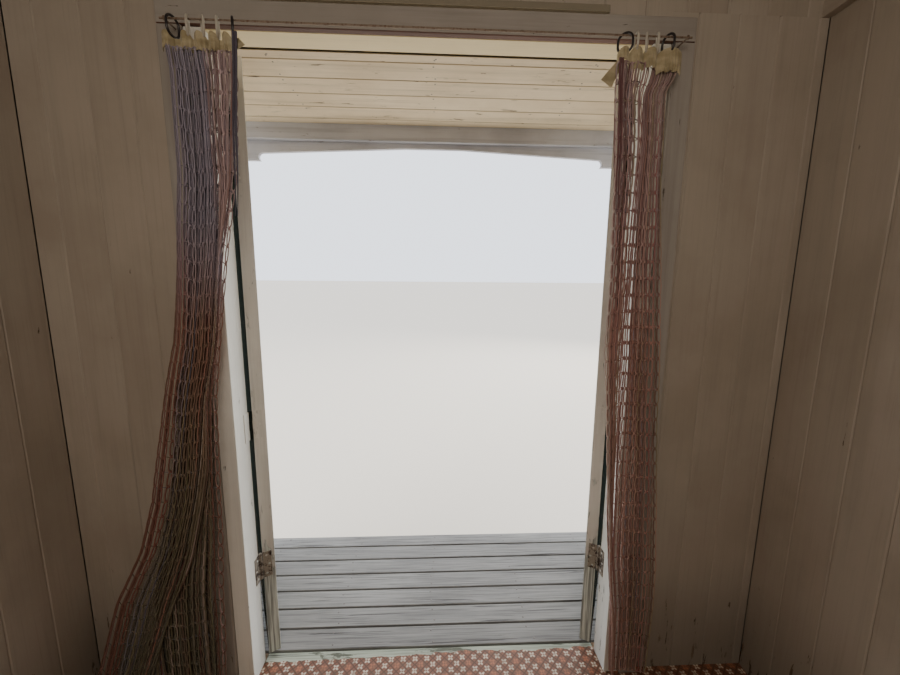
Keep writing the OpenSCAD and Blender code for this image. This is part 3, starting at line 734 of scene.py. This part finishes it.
# Roof
# Rafters and a ridge board, painted cream as the room is, and planed boards across them. Mineral felt is
# nailed over the boards in three courses that lap downhill and turn down over the edges, under a ridge cap.
ROOF_BOARD, ROOF_PITCH, RIDGE_SLIT = 0.018, 0.116, 0.0015
LAPS = (0.50, 1.13)  # metres down the slope from the ridge to the lower edge of each upper course
FELT_T, FELT_LIES, FELT_LIFT, LIFTED, FELT_START, FELT_PAST = 0.0022, 0.0012, 0.0028, 0.16, 0.004, 0.010
TURN_DOWN, TURN_STEP, RIPPLE, FELT_CUTS, COURSE_CUTS, CAP_EDGE = 0.028, 0.002, 0.0004, 61, 10, 0.001
FELT_INSET, LAP_STEP, TURN_OUT, WANDER = 0.004, 0.002, 0.0005, 0.003
CLOUT_ENDS, EDGE_FIRST, EDGE_OUT = (0.05, 0.03), 0.06, 0.003
CLOUT_R, CLOUT_SPACE, EDGE_SPACE, LAP_INSET, CLOUT_LIES, EDGE_DROP = 0.0055, 0.065, 0.09, 0.022, 0.0058, 0.014

for name in ("wall_plates", "ridge_board", "rafters"):
    softened(name, SAWN_EDGE, inside_paint, "inside_paint")
(x0, y0, z0), (x1, y1, z1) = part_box("roof_boards")
slope_length = (x1 - ROOF_BOARD * math.sin(ROOF_ANGLE)) / math.cos(ROOF_ANGLE)


def on_slope(side):
    """A place on a slope, as metres down it, out of it and along it, into the hut's own frame.

    The second value is 1 where along the slope is +Y and -1 where it is -Y."""
    down = Vector((side * math.cos(ROOF_ANGLE), 0, -math.sin(ROOF_ANGLE)))
    out = Vector((side * math.sin(ROOF_ANGLE), 0, math.cos(ROOF_ANGLE)))
    along = down.cross(out)
    return Matrix.Translation((0, 0, ROOF_PEAK)) @ Matrix((down, out, along)).transposed().to_4x4(), along.y


roof_meshes = []
for side in (-1, 1):
    laid, way = on_slope(side)
    laid = laid @ Matrix.Translation((0, ROOF_BOARD / 2, 0))
    ends = sorted((y0 * way, y1 * way))
    # The faces of a row look to -Y: it lies unturned under the roof, and turned round on top
    for low, high, turn in ((RIDGE_SLIT, slope_length, 0), (-slope_length, -RIDGE_SLIT, math.pi)):
        mesh = board_row(low, high, 0.0, *ends, inside_paint, Pitch=ROOF_PITCH, Skin=ROOF_BOARD / 2,
                         Seed=side + 1)
        mesh.transform(laid @ Matrix.Rotation(turn, 4, "Z"))
        roof_meshes.append(mesh)
joined("roof_boards_laid", roof_meshes, "hut", "inside_paint", "roof_boards")

felt = Finish("roof_felt", (0.060, 0.068, 0.070))
grit = felt.cells(420)
patch = felt.noise(1.7, detail=6, rough=0.65)
streak = felt.noise((2, 14, 2), detail=4, rough=0.6)
moss = felt.noise(9, detail=6, rough=0.7).between(0.62, 0.72)
felt.lay(patch.between(0.3, 0.7), (0.115, 0.125, 0.125))
felt.lay(streak.between(0.5, 0.75) * 0.5, (0.165, 0.17, 0.16))
felt.lay((1 - grit.between(0.1, 0.5)) * 0.35, (0.20, 0.205, 0.20))
felt.lay(moss * 0.35, (0.12, 0.135, 0.075))
felt = felt.done(0.93, grit * 0.5 + patch * 0.5, 0.0015)

(x0, y0, z0), (x1, y1, z1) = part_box("roof_felt")
ends = [y0 - TURN_STEP, *np.linspace(y0 + FELT_INSET, y1 - FELT_INSET, FELT_CUTS), y1 + TURN_STEP]
felt_end = slope_length + FELT_PAST
steps = [FELT_START]
for lap in (*LAPS, felt_end):
    steps += [*np.linspace(steps[-1], lap - LAP_STEP, COURSE_CUTS)[1:], lap]
sheet = bmesh.new()
for side in (-1, 1):
    laid, way = on_slope(side)
    turns = [random.Random(side).uniform(0, 6.3) for _ in range(3)]
    grid = []
    for s in steps:
        next_lap = min([lap for lap in LAPS if lap > s - 0.001] or [felt_end])
        lift = ROOF_BOARD + FELT_LIES + FELT_LIFT * max(0.0, 1 - (next_lap - s) / LIFTED)
        row = []
        for i, y in enumerate(ends):
            ripple = math.sin(y * 5.1 + s * 3 + turns[0]) + math.sin(y * 11 - s * 4 + turns[1])
            wander = WANDER * math.sin(y * 2.3 + turns[2] + s * 9) if s in LAPS else 0.0
            drop = TURN_DOWN if i in (0, len(ends) - 1) else 0.0
            row.append(sheet.verts.new(laid @ Vector((s + wander, lift + RIPPLE * ripple - drop, y * way))))
        grid.append(row)
    grid.append([sheet.verts.new(v.co + Vector((side * TURN_OUT, 0, -TURN_DOWN))) for v in grid[-1]])
    for a, b in zip(grid, grid[1:]):
        for i in range(len(a) - 1):
            around = (a[i], b[i], b[i + 1], a[i + 1])
            sheet.faces.new(around if way < 0 else around[::-1])
laid_felt = link("roof_felt_laid", mesh_of("roof_felt_laid", sheet, felt))
thick = laid_felt.modifiers.new("felt", "SOLIDIFY")
thick.thickness, thick.offset = FELT_T, 1.0
shown(laid_felt, "hut", "roof_felt", "roof_felt")
softened("ridge_cap", CAP_EDGE, felt, "roof_felt")

# Clout nails hold the felt: a flat round head every few centimetres along each lap and each edge
clouts = []
for side in (-1, 1):
    laid, way = on_slope(side)
    out = laid.to_3x3() @ Vector((0, 1, 0))
    for lap in LAPS:
        for y in np.arange(y0 + CLOUT_ENDS[0], y1 - CLOUT_ENDS[1], CLOUT_SPACE):
            clouts.append((laid @ Vector((lap - LAP_INSET, ROOF_BOARD + CLOUT_LIES, y * way)), out))
    for y, face in ((y0 - EDGE_OUT, -1), (y1 + EDGE_OUT, 1)):
        for s in np.arange(EDGE_FIRST, slope_length, EDGE_SPACE):
            clouts.append((laid @ Vector((s, ROOF_BOARD - EDGE_DROP, y * way)), (0, face, 0)))
nailed("felt_nails", clouts, CLOUT_R, NAIL_RISE, steel, "roof_felt")

# Doors
# Two framed, ledged and braced doors: stiles and rails with a brace in each half, and upright matchboards
# over the rails. They stand open. Their outer faces are an old dark green, darkened further as painted shade.
# The edges are painted a lighter grey-white than the inner faces, as painted light on them. At the foot
# the paint of both has gone, down to grey wood.
DOOR_OPEN = math.radians(118)
PIN = Vector((-0.629, -0.8805, 0.418))  # the left door's hinge pin, at the level of the room's floor
LEAF, STILE, STILE_EDGE = (0.003, 0.624), 0.095, 0.0025
FACE, BEHIND_BOARDS, BACK = 0.007, 0.025, 0.049  # behind the pin: the outer face, the rails, the inner face
FOOT, TOP, BOTTOM_RAIL, LOCK_RAIL, BRACE = 0.013, 2.104, 0.190, (0.910, 1.050), 0.090
DOOR_PITCH, DOOR_GROOVE = 0.0862, 0.003

# Painted light: the edges' grey-white is lighter than the inner faces' same paint, for the light on them
door_paint = painted("door_paint", (0.90, 0.885, 0.82), (0.70, 0.685, 0.625), 0.6, 0.9,
                     bare=(0.66, 0.70, 0.64), rough=0.7, foot=0.72, foot_loss=0.42)
door_inside = painted("door_inside_paint", (0.60, 0.59, 0.53), (0.47, 0.46, 0.41), 0.6, 0.9,
                      bare=(0.36, 0.33, 0.27), rough=0.7, foot=0.72, foot_loss=0.2, joints=0.4)
# Painted shade: the dark green is darkened further, for the shade under the porch
door_green = painted("door_green", (0.022, 0.027, 0.023), (0.015, 0.019, 0.016), 0.6, 0.7, rough=0.8,
                     foot=0.5, shine=0.0)
hang = Matrix.Translation(PIN) @ Matrix.Rotation(-DOOR_OPEN, 4, "Z")
hangs = {"left_door": hang, "right_door": Matrix.Scale(-1, 4, (1, 0, 0)) @ hang}


def add_prism(shape, outline, front, back):
    """A closed piece of wood in a bmesh from its outline in X and Z, seen from the front."""
    near, far = [[shape.verts.new((x, y, z)) for x, z in outline] for y in (front, back)]
    shape.faces.new(near)
    shape.faces.new(far[::-1])
    for i in range(len(outline)):
        shape.faces.new((near[i - 1], far[i - 1], far[i], near[i]))


x0, x1 = LEAF[0] + STILE, LEAF[1] - STILE
for body, hung in hangs.items():
    timber = bmesh.new()
    for low, high in ((LEAF[0], x0), (x1, LEAF[1])):
        add_box(timber, (low, FACE, FOOT), (high, BACK, TOP))
    add_box(timber, (x0, FACE, TOP - STILE), (x1, BACK, TOP))
    for low, high in ((FOOT, FOOT + BOTTOM_RAIL), LOCK_RAIL):
        add_box(timber, (x0, BEHIND_BOARDS, low), (x1, BACK, high))
    for low, high in ((FOOT + BOTTOM_RAIL, LOCK_RAIL[0]), (LOCK_RAIL[1], TOP - STILE)):
        add_prism(timber, ((x0, low), (x0 + BRACE, low), (x1, high), (x1 - BRACE, high)), BEHIND_BOARDS, BACK)
    timber.transform(hung)
    bmesh.ops.recalc_face_normals(timber, faces=timber.faces)
    framing = timbered(body + "_framing", timber, STILE_EDGE, door_paint, "door_wood", body + "_frame",
                       body=body, segments=3)
    rows = []
    # The outer face, then the inner one, whose boards are the same row turned round
    for way, paint in ((1, door_green), (-1, door_inside)):
        faced(framing, hung.to_3x3() @ Vector((0, -way, 0)), paint)
        low, high = sorted((x0 * way, x1 * way))
        mesh = board_row(low, high, x0 * way, FOOT, TOP - STILE, paint, Pitch=DOOR_PITCH, Seed=3,
                         Skin=(BEHIND_BOARDS - FACE) / 2, Groove=DOOR_GROOVE)
        mesh.transform(hung @ Matrix.Translation((0, (FACE + BEHIND_BOARDS) / 2, 0))
                       @ Matrix.Rotation(math.pi * (way < 0), 4, "Z"))
        if hung.determinant() < 0:
            mesh.flip_normals()
        rows.append(mesh)
    joined(body + "_matchboards", rows, body, "door_wood", body + "_boards")

# Hinges
# Three iron butt hinges a door, screwed into the door's edge and the post. The flaps are under the paint of
# the wood they lie on, and the knuckles are under the dark green and its painted shade. The lowest hinges
# are rusty and lumpy.
HINGES, HINGE_L, KNUCKLE_REACH, HINGE_EDGE = (0.390, 0.930, 1.780), 0.100, 0.007, 0.0004
SCREW_PLACES = ((-0.036, 0.020), (0.0, 0.029), (0.036, 0.020))  # height on the flap, and behind the pin
FLAP_FACE, SCREW_R, SCREW_RISE = 0.0009, 0.0042, 0.0006

iron = Finish("hinge_iron", (0.075, 0.042, 0.026))
lumps = iron.noise(210, detail=4)
blotch = iron.noise(34, detail=5, rough=0.65)
old_paint = 1 - (blotch + lumps * 0.2).between(0.60, 0.68)
iron.lay(blotch.between(0.3, 0.7), (0.045, 0.035, 0.03))
iron.lay(lumps.between(0.5, 0.7) * 0.5, (0.13, 0.07, 0.04))
iron.lay(old_paint * 0.9, iron.mix(lumps, (0.44, 0.40, 0.33), (0.22, 0.19, 0.15)))
iron = iron.done(0.9, lumps * 0.6 + old_paint * 0.4, 0.0016)
for wood, paint in (("post", post_paint), ("left_door", door_paint), ("right_door", door_paint)):
    piece = softened(wood + "_hinges", HINGE_EDGE, iron, "hinge_iron")
    piece.data.materials.append(door_green)
    piece.data.materials.append(paint)
    for face in piece.data.polygons:
        x, y, z = face.center
        flap = math.dist((abs(x), y), (-PIN.x, PIN.y)) > KNUCKLE_REACH
        face.material_index = (z > PIN.z + HINGES[0] + HINGE_L) * (1 + flap)
screws = {"hut": [], "left_door": [], "right_door": []}
for body, hung in hangs.items():
    # The way a flap looks is -X in the door's own frame, and +X on the post, where the door would be shut
    for wood, flap, way in ((body, hung, -1), ("hut", hung @ Matrix.Rotation(DOOR_OPEN, 4, "Z"), 1)):
        out = flap.to_3x3() @ Vector((way, 0, 0))
        screws[wood] += [(flap @ Vector((-way * FLAP_FACE, behind, z + rise)), out)
                         for z in HINGES for rise, behind in SCREW_PLACES]
for body, places in screws.items():
    nailed(body + "_screws", places, SCREW_R, SCREW_RISE, post_paint if body == "hut" else door_paint,
           "hinge_iron", body)

# Curtain rod and rings
# A thin rod of dull brown wire in two screw eyes over the doorway. On it each curtain has five rings, long
# for their width: the first and the last are black plastic, and the three between are cream.
RING_W, RING_H, RING_R, RING_CUTS, RING_SIDES = 0.038, 0.050, 0.0032, 13, 12
# The outer ring of each curtain, the step to the next ones, and how far each is turned
RINGS = {"curtain_left": (-0.643, 0.030, (20, -22, -30, -12, 55)),
         "curtain_right": (0.677, -0.038, (-12, 22, 34, 20, 25))}

wire = Finish("rod_wire", (0.26, 0.20, 0.15))
spots = wire.noise(160, detail=4)
wire.lay(spots.between(0.45, 0.7), (0.15, 0.085, 0.05))
wire = wire.done(0.5 + spots * 0.35, spots, 0.0003, Metallic=0.2)
rod = nodes["curtain_rod"]
rod.data.materials.clear()
rod.data.materials.append(wire)

# Tubes that follow the edges of a mesh, as thick at each point as its attribute thick says
threads = Shaping("threads", Radius=0.0, Sides=0)
g = threads.given
line = threads.node("GeometryNodeMeshToCurve", {"Mesh": threads.start})
ring = threads.node("GeometryNodeCurvePrimitiveCircle", {"Resolution": g.Sides, "Radius": g.Radius})
tube = threads.node("GeometryNodeCurveToMesh", {
    "Curve": line, "Profile Curve": ring, "Scale": threads.named("thick", "FLOAT"), "Fill Caps": True})
threads.finish(threads.node("GeometryNodeSetShadeSmooth", {0: tube}))


def threaded(lines, radius, sides, finish, closed=False, **attributes):
    """Tubes of this radius along lines of points, with attributes that have a value for each point."""
    count, length = lines.shape[:2]
    edges = [(i * length + j, i * length + (j + 1) % length)
             for i in range(count) for j in range(length - (not closed))]
    base = bpy.data.meshes.new("lines")
    base.from_pydata(lines.reshape(-1, 3).tolist(), edges, [])
    attributes.setdefault("thick", np.ones((count, length)))
    for key, values in attributes.items():
        give(base, key, values)
    return threads.run(base, Radius=radius, Sides=sides, Finish=finish)


def ring_plastic(name, colour, rough):
    plastic = Finish(name, colour)
    rub = plastic.noise(90, detail=4)
    plastic.lay(rub, lit(colour, 0.72))
    return plastic.done(rough + rub * 0.2, rub, 0.0001, Coat_Weight=0.25)


black_plastic = ring_plastic("black_plastic", (0.022, 0.019, 0.021), 0.22)
cream_plastic = ring_plastic("cream_plastic", (0.60, 0.57, 0.49), 0.3)
low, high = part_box("curtain_rings")
ring_top, rod_y = high.z - RING_R, (low.y + high.y) / 2
bend, straight = RING_W / 2, RING_H - RING_W
loop = [(bend * math.cos(a), -bend + bend * math.sin(a)) for a in np.linspace(0, math.pi, RING_CUTS)]
loop += [(-x, -2 * bend - straight - z) for x, z in loop]
ring_meshes = []
for first, step, turns in RINGS.values():
    for number, turn in enumerate(turns):
        c, s = math.cos(math.radians(turn)), math.sin(math.radians(turn))
        line = np.array([[(first + number * step - y * s, rod_y + y * c, ring_top + z) for y, z in loop]])
        plastic = black_plastic if number in (0, len(turns) - 1) else cream_plastic
        ring_meshes.append(threaded(line, RING_R, RING_SIDES, plastic, closed=True))
joined("curtain_rings_moulded", ring_meshes, "hut", "ring_plastic", "curtain_rings")

# Curtains
# Open netting in thick mixed yarn: pairs of strands tied together every 49 mm and spread to tall loops in
# between, with ties from column to column at the knots: three fifths of it is yarn. Each curtain is gathered
# in flat folds, and hangs from an olive heading tape that is drawn into lobes between the rings.
COLUMN, ROW, YARN_R, TIE_R, CORD_R, YARN_SHARE = 0.0185, 0.049, 0.0018, 0.0014, 0.0034, 0.6
LOOP = ((0, 0.1), (0.14, 0.78), (0.5, 1), (0.86, 0.78))  # along the row, and how open
OPEN_SHARE, OPEN_MOST = 0.42, 0.011  # half a loop's width: this share of the columns' spacing, and the most
KNOT, INSET, DRIFT = 1.7, 0.009, 0.010  # a knot is so much thicker, the net's edge, how far rows slip
NECK = 1.94  # over the floor: the net is straight from here up, where the CAD's outline widens for the tape
# Folds of each curtain from the doorway outward: how many columns of loops lie before the fold, its place
# across the curtain (at these heights over the floor, where it changes) and its depth towards the room
HEIGHTS = (0.04, 0.50, 0.86, 1.20, 1.50, 1.83, 2.05)
STRIP, STRIP_END = (0, 0.01, 0.16, 0.275, 0.305, 0.43, 0.43), (0.21, 0.22, 0.38, 0.495, 0.525, 0.66, 0.66)
BRIGHT = (0.105, 0.115, 0.27, 0.385, 0.415, 0.55, 0.55)
BRIGHT_END = (0.13, 0.14, 0.29, 0.41, 0.44, 0.60, 0.66)
EDGE, FAR = (0.04, 0.07, 0.10, 0.12, 0.13, 0.14, 0.14), (0.46, 0.72, 0.74, 0.84, 0.97, 0.98, 0.97)
NEAR, MIDDLE = (0.10, 0.14, 0.13, 0.14, 0.14, 0.06, 0), (0.78, 0.40, 0.14, 0.14, 0.14, 0.06, 0)
CREAM_FOLD, CHAIN = (0.62, 0.42, 0.26, 0.12, 0.13, 0.30, 0.40), (0.90, 0.86, 0.76, 0.83, 0.90, 0.90, 0.90)
CHAIN_END = (0.93, 0.92, 0.90, 0.93, 0.96, 0.96, 0.96)
FOLDS = {
    "curtain_left": ((0, 0, 0.014), (4, STRIP, 0.012), (4, 0.02, 0.002), (4, STRIP, -0.008),
                     (1, BRIGHT, -0.008), (1, BRIGHT_END, -0.009), (6, 0.80, -0.016), (5, STRIP_END, -0.006),
                     (7, 1, 0.008)),
    "curtain_right": ((0, 0, -0.002), (1, EDGE, 0), (10, FAR, -0.017), (9, NEAR, -0.010),
                      (9, FAR, -0.002), (9, MIDDLE, 0.004), (4, CREAM_FOLD, 0.008), (8, CHAIN, 0.013),
                      (1, CHAIN_END, 0.015), (2, 1, 0.016)),
}
# At HEIGHTS: how wide the loops are, apart from those of the first column, and how thick the yarn is
OPENS = {"curtain_left": (0.6, 0.7, 0.95, 1, 1, 0.8, 0.5),
         "curtain_right": (0.6, 0.6, 0.9, 0.85, 0.7, 0.6, 0.5)}
THICKS = {"curtain_left": (1.2, 1.1, 1, 1, 1, 1, 1),
          "curtain_right": (1.45, 1.35, 1.15, 1, 1, 0.9, 0.9)}
SLIPS = {"curtain_left": (0.1, 0.2), "curtain_right": (0.3, 0.9)}  # how a row slips from column to column
# Waves of the net: how high they are, and their radians for each metre of height. Then how far under its top
# the net hangs quite loose, how far a strand strays, and how far a tie lies over or under the knots
SWAY, SHIVER, BILLOW = (0.0025, 4), (0.0012, 16), (0.002, 3.1)
LOOSE, STRAY, TIE_STEP = 0.25, 0.003, 0.004
TAPE_H, TAPE_T, TAPE_FLAT, TAPE_CUTS, TAB_CUTS, STRIP_CUTS = 0.045, 0.0012, 0.028, 150, 9, 5
PUFF_OUT, PUFF_UP, TAPE_LIES, TAB_LIES, TAB_LEAN = 0.015, 0.014, -0.002, 0.004, 0.010
# Lobes of the tape: their edges in metres from the middle of the doorway, and how far they hang down
LOBES = {
    "curtain_left": ((0.684, 0.615, 0.060), (0.614, 0.574, 0.050), (0.573, 0.536, 0.055),
                     (0.535, 0.504, 0.034)),
    "curtain_right": ((0.707, 0.676, 0.040), (0.660, 0.629, 0.043), (0.625, 0.592, 0.045),
                      (0.589, 0.561, 0.045), (0.554, 0.527, 0.042)),
}
# The tape's loose end: where it starts and ends, as metres from the middle and over the floor, and its width
TABS = {"curtain_left": ((0.509, 2.024), (0.471, 1.966), 0.036),
        "curtain_right": ((0.515, 2.050), (0.500, 2.026), 0.022)}
# The thick strand that hangs from the tape down the edge next to the doorway, in two plies that thin out to
# its lower end: its two ends, in the same measures, and its colour
CORDS = {"curtain_left": ((0.508, 2.030), (0.524, 1.62), (0.15, 0.07, 0.075)),
         "curtain_right": ((0.514, 2.060), (0.540, 1.60), (0.085, 0.08, 0.115))}
PLIES, CORD_CUTS, CORD_THIN = (-0.0028, 0.0038), 14, ((0, 0.6, 1), (1, 0.85, 0.25))
CORD_LIES, CORD_LEAN, CORD_SWING = 0.017, 0.003, 0.0015
# Colours of the yarn at these heights over the floor, of odd strands in it, and of some strands by number,
# with the share that they take of it at the same heights. On some strands by number the colour is a painted
# highlight.
DYED = (0.04, 0.70, 1.25, 1.70, 2.05)
DYES = {"curtain_left": ((0.38, 0.24, 0.20), (0.43, 0.265, 0.22), (0.41, 0.235, 0.20), (0.41, 0.27, 0.265),
                         (0.41, 0.30, 0.30)),
        "curtain_right": ((0.13, 0.135, 0.095), (0.15, 0.13, 0.085), (0.27, 0.155, 0.115),
                          (0.45, 0.33, 0.345), (0.50, 0.39, 0.41))}
# Painted shade over the yarn's own colour: the part that lies farther out than this from the middle takes
# this darker blue-grey, which comes in between these heights
SHADED, SHADED_FROM = {"curtain_right": (0.59, (0.29, 0.28, 0.36))}, (1.3, 1.6)
SHADED_BLUR, SHADED_MOST = 0.015, 0.85
ODD_DYES = ((0.24, 0.085, 0.085), (0.20, 0.18, 0.10), (0.13, 0.08, 0.06), (0.42, 0.33, 0.31),
            (0.22, 0.23, 0.31), (0.30, 0.15, 0.115))
# Cream yarn, and on the left curtain's two strands by the doorway a painted highlight of the light behind
# them
CREAM_AND_HIGHLIGHT, RED = (0.72, 0.62, 0.54), (0.26, 0.085, 0.07)
STREAKS = {"curtain_left": (((0, 1), CREAM_AND_HIGHLIGHT, (0.4, 0.6, 0.6, 0.4, 0.2)),),
           "curtain_right": (((85,), CREAM_AND_HIGHLIGHT, (0, 0.5, 0.9, 0, 0)),
                             ((0, 1, 2), RED, (0.4, 0.5, 0.3, 0, 0)),
                             (range(100, 108), RED, (0.5, 0.6, 0.4, 0, 0)))}

yarn = Finish("netting_yarn", (0.0, 0.0, 0.0))
yarn.colour = yarn.attribute("dye", "Vector")
fluff = yarn.noise(900, detail=2)
yarn.lay(fluff * 0.15, (0.42, 0.34, 0.31))
yarn = yarn.done(0.95, fluff, 0.0006, Specular_IOR_Level=0.1)

tape_cloth = Finish("heading_tape", (0.36, 0.305, 0.175))
weave = tape_cloth.noise(700, detail=1)
fade = tape_cloth.noise((30, 30, 60), detail=4)
tape_cloth.lay(fade.between(0.3, 0.7), (0.56, 0.49, 0.32))
tape_cloth.lay(weave * 0.3, (0.24, 0.19, 0.11))
tape_cloth = tape_cloth.done(0.92, weave, 0.0003, Sheen_Weight=0.2)


def edges_of(name):
    """A CAD curtain's heights from the bottom up, and its edges there: next to the doorway, and the other."""
    rows = {}
    for v in nodes[name].data.vertices:
        rows.setdefault(round(v.co.z, 3), []).append(v.co.x)
    heights = sorted(rows)
    return heights, [min(rows[h], key=abs) for h in heights], [max(rows[h], key=abs) for h in heights]


def add_strip(shape, points, downs):
    """A sheet in a bmesh from a row of points along its top and the way down from each of them."""
    rows = [[shape.verts.new(p + d * share) for share in np.linspace(0, 1, STRIP_CUTS + 1)]
            for p, d in zip(points, downs)]
    for a, b in zip(rows, rows[1:]):
        for k in range(STRIP_CUTS):
            shape.faces.new((a[k], a[k + 1], b[k + 1], b[k]))


def heading(name, way, floor_top, top):
    """The tape over a curtain, puffed out in each lobe, with its loose end. way is the sign of its side."""
    cloth = bmesh.new()
    points, downs = [], []
    for x in np.linspace(LOBES[name][0][0], LOBES[name][-1][1], TAPE_CUTS):
        puff, drop = 0.0, TAPE_FLAT
        for outer, inner, hangs in LOBES[name]:
            share = (outer - x) / (outer - inner)
            if 0 <= share <= 1:
                puff = math.sin(math.pi * share) ** 0.6
                drop = hangs * (0.8 + 0.2 * puff) + 0.002 * math.sin(share * 21)
        points.append(Vector((way * x, rod_y + TAPE_LIES + PUFF_OUT * puff, top + PUFF_UP * puff)))
        downs.append(Vector((0, 0.003 * math.sin(x * 700) * puff, -drop)))
    add_strip(cloth, points, downs)
    (x0, z0), (x1, z1), width = TABS[name]
    points, downs = [], []
    for share in np.linspace(0, 1, TAB_CUTS):
        middle = Vector((way * (x0 + (x1 - x0) * share), rod_y + TAB_LIES + TAB_LEAN * share,
                         floor_top + z0 + (z1 - z0) * share))
        side = Vector((z0 - z1, 0.0, way * (x1 - x0))).normalized() * width * (0.5 + 0.5 * share)
        points.append(middle - side / 2)
        downs.append(side)
    add_strip(cloth, points, downs)
    cloth.normal_update()
    bmesh.ops.solidify(cloth, geom=cloth.faces, thickness=TAPE_T)
    bmesh.ops.recalc_face_normals(cloth, faces=cloth.faces)
    return mesh_of(name + "_heading", cloth, tape_cloth)


for seed, (name, folds) in enumerate(FOLDS.items()):
    heights, inner, outer = edges_of(name)
    floor_top, top, way = PIN.z, heights[-1], math.copysign(1, inner[0])
    draw = np.random.default_rng(seed + 5)
    net_top = top - TAPE_H * 0.6
    rows = int((net_top - DRIFT - heights[0]) / ROW)
    steps = [(k + share, openness) for k in range(rows) for share, openness in LOOP] + [(rows, LOOP[0][1])]
    row, openness = np.array(steps).T
    knots = openness == LOOP[0][1]
    z = net_top - ROW * row
    near = np.interp(np.minimum(z, floor_top + NECK), heights, inner) + way * INSET
    far = np.interp(z, heights, outer) - way * INSET
    corners = np.cumsum([count for count, _, _ in folds])
    places = np.array([np.interp(z - floor_top, HEIGHTS, np.broadcast_to(place, 7)) for _, place, _ in folds])
    column = np.arange(corners[-1] + 1)[:, None]
    across = np.array([np.interp(column[:, 0], corners, at) for at in places.T]).T
    depth = np.interp(column, corners, [d for _, _, d in folds])
    slow, fast = np.cumsum(draw.normal(0.6, 0.5, (2, len(column), 1)), axis=1)
    slip = np.cumsum(draw.normal(*SLIPS[name], (len(column), 1)), axis=0)
    loose = np.clip((top - z) / LOOSE, 0, 1)
    sway = SWAY[0] * np.sin(SWAY[1] * z + slow) + SHIVER[0] * np.sin(SHIVER[1] * z + fast)
    depth = depth + BILLOW[0] * np.sin(BILLOW[1] * z + fast)
    place = np.stack(np.broadcast_arrays(
        near + (far - near) * across + sway * loose, rod_y + depth, z + DRIFT * np.sin(slip) * loose), axis=2)
    ways = np.gradient(place[:, :, :2], axis=0)
    spacing = np.linalg.norm(ways, axis=2)
    size = draw.uniform(0.82, 1.12, (len(column), rows + 1))[:, [int(k) for k, _ in steps]]
    size[1:] *= np.interp(z - floor_top, HEIGHTS, OPENS[name])
    half = openness * np.clip(spacing * OPEN_SHARE * size, YARN_R, OPEN_MOST)
    spread = np.zeros_like(place)
    spread[:, :, :2] = ways / np.maximum(spacing, 1e-6)[:, :, None] * half[:, :, None]
    strands = np.stack([place - spread, place + spread], axis=1).reshape(-1, *place.shape[1:])
    strands[:, :, 1] += draw.uniform(-STRAY, STRAY, (len(strands), 1)) * np.where(knots, 0.3, 1)
    ties = place[:, knots].transpose(1, 0, 2) + np.where(column % 2, TIE_STEP, -TIE_STEP) * (0, 0, 1)
    (x0, z0), (x1, z1), cord_dye = CORDS[name]
    share = np.linspace(0, 1, CORD_CUTS)
    cord = []
    for apart in PLIES:
        swing = apart + CORD_SWING * np.sin(9 * share + 900 * apart)
        cord.append(np.stack([way * (x0 + (x1 - x0) * share + swing), rod_y + CORD_LIES + CORD_LEAN * share,
                              floor_top + z0 + (z1 - z0) * share], axis=1))
    cord = np.array(cord)

    def spun(lines, radius, thick=1.0, streaks=()):
        """Yarn along these lines, dyed by its height, in part like one of the odd strands, and with painted
        shade out far.
        """
        up = lines[:, :, 2:] - floor_top
        dye = np.concatenate([np.interp(up, DYED, shade) for shade in np.transpose(DYES[name])], axis=2)
        odd = np.array(ODD_DYES)[draw.integers(0, len(ODD_DYES), len(lines))][:, None]
        chance = draw.uniform(0, 1, (3, len(lines), 1, 1))
        share = chance[0] * (0.55 + 0.45 * np.sin(up * 8 + 6 * chance[1]))
        dye = (dye * (1 - share) + odd * share) * (0.6 + 0.75 * chance[2])
        # Painted shade: a darker blue-grey on the part that lies far out from the middle
        if name in SHADED:
            start, colour = SHADED[name]
            share = np.clip((np.abs(lines[:, :, :1]) - start) / SHADED_BLUR, 0, 1)
            share = share * np.interp(up, SHADED_FROM, (0, SHADED_MOST))
            dye = dye * (1 - share) + np.array(colour) * share * (0.7 + 0.6 * chance[2])
        for numbers, colour, shares in streaks:
            numbers = list(numbers)
            share = np.interp(up[numbers], DYED, shares)
            dye[numbers] = dye[numbers] * (1 - share) + np.array(colour) * share
        return threaded(lines, radius, 4, yarn, dye=dye, thick=np.broadcast_to(thick, lines.shape[:2]))

    thick = np.where(knots, KNOT, 1) * np.interp(z - floor_top, HEIGHTS, THICKS[name])
    cord_thick = np.broadcast_to(np.interp(share, *CORD_THIN), cord.shape[:2])
    meshes = [spun(strands, YARN_R, thick, STREAKS[name]), spun(ties, TIE_R),
              threaded(cord, CORD_R, 6, yarn, dye=np.broadcast_to(cord_dye, cord.shape), thick=cord_thick),
              heading(name, way, floor_top, top)]
    netting = joined(name + "_netting", meshes, "hut", "netting_yarn", name)
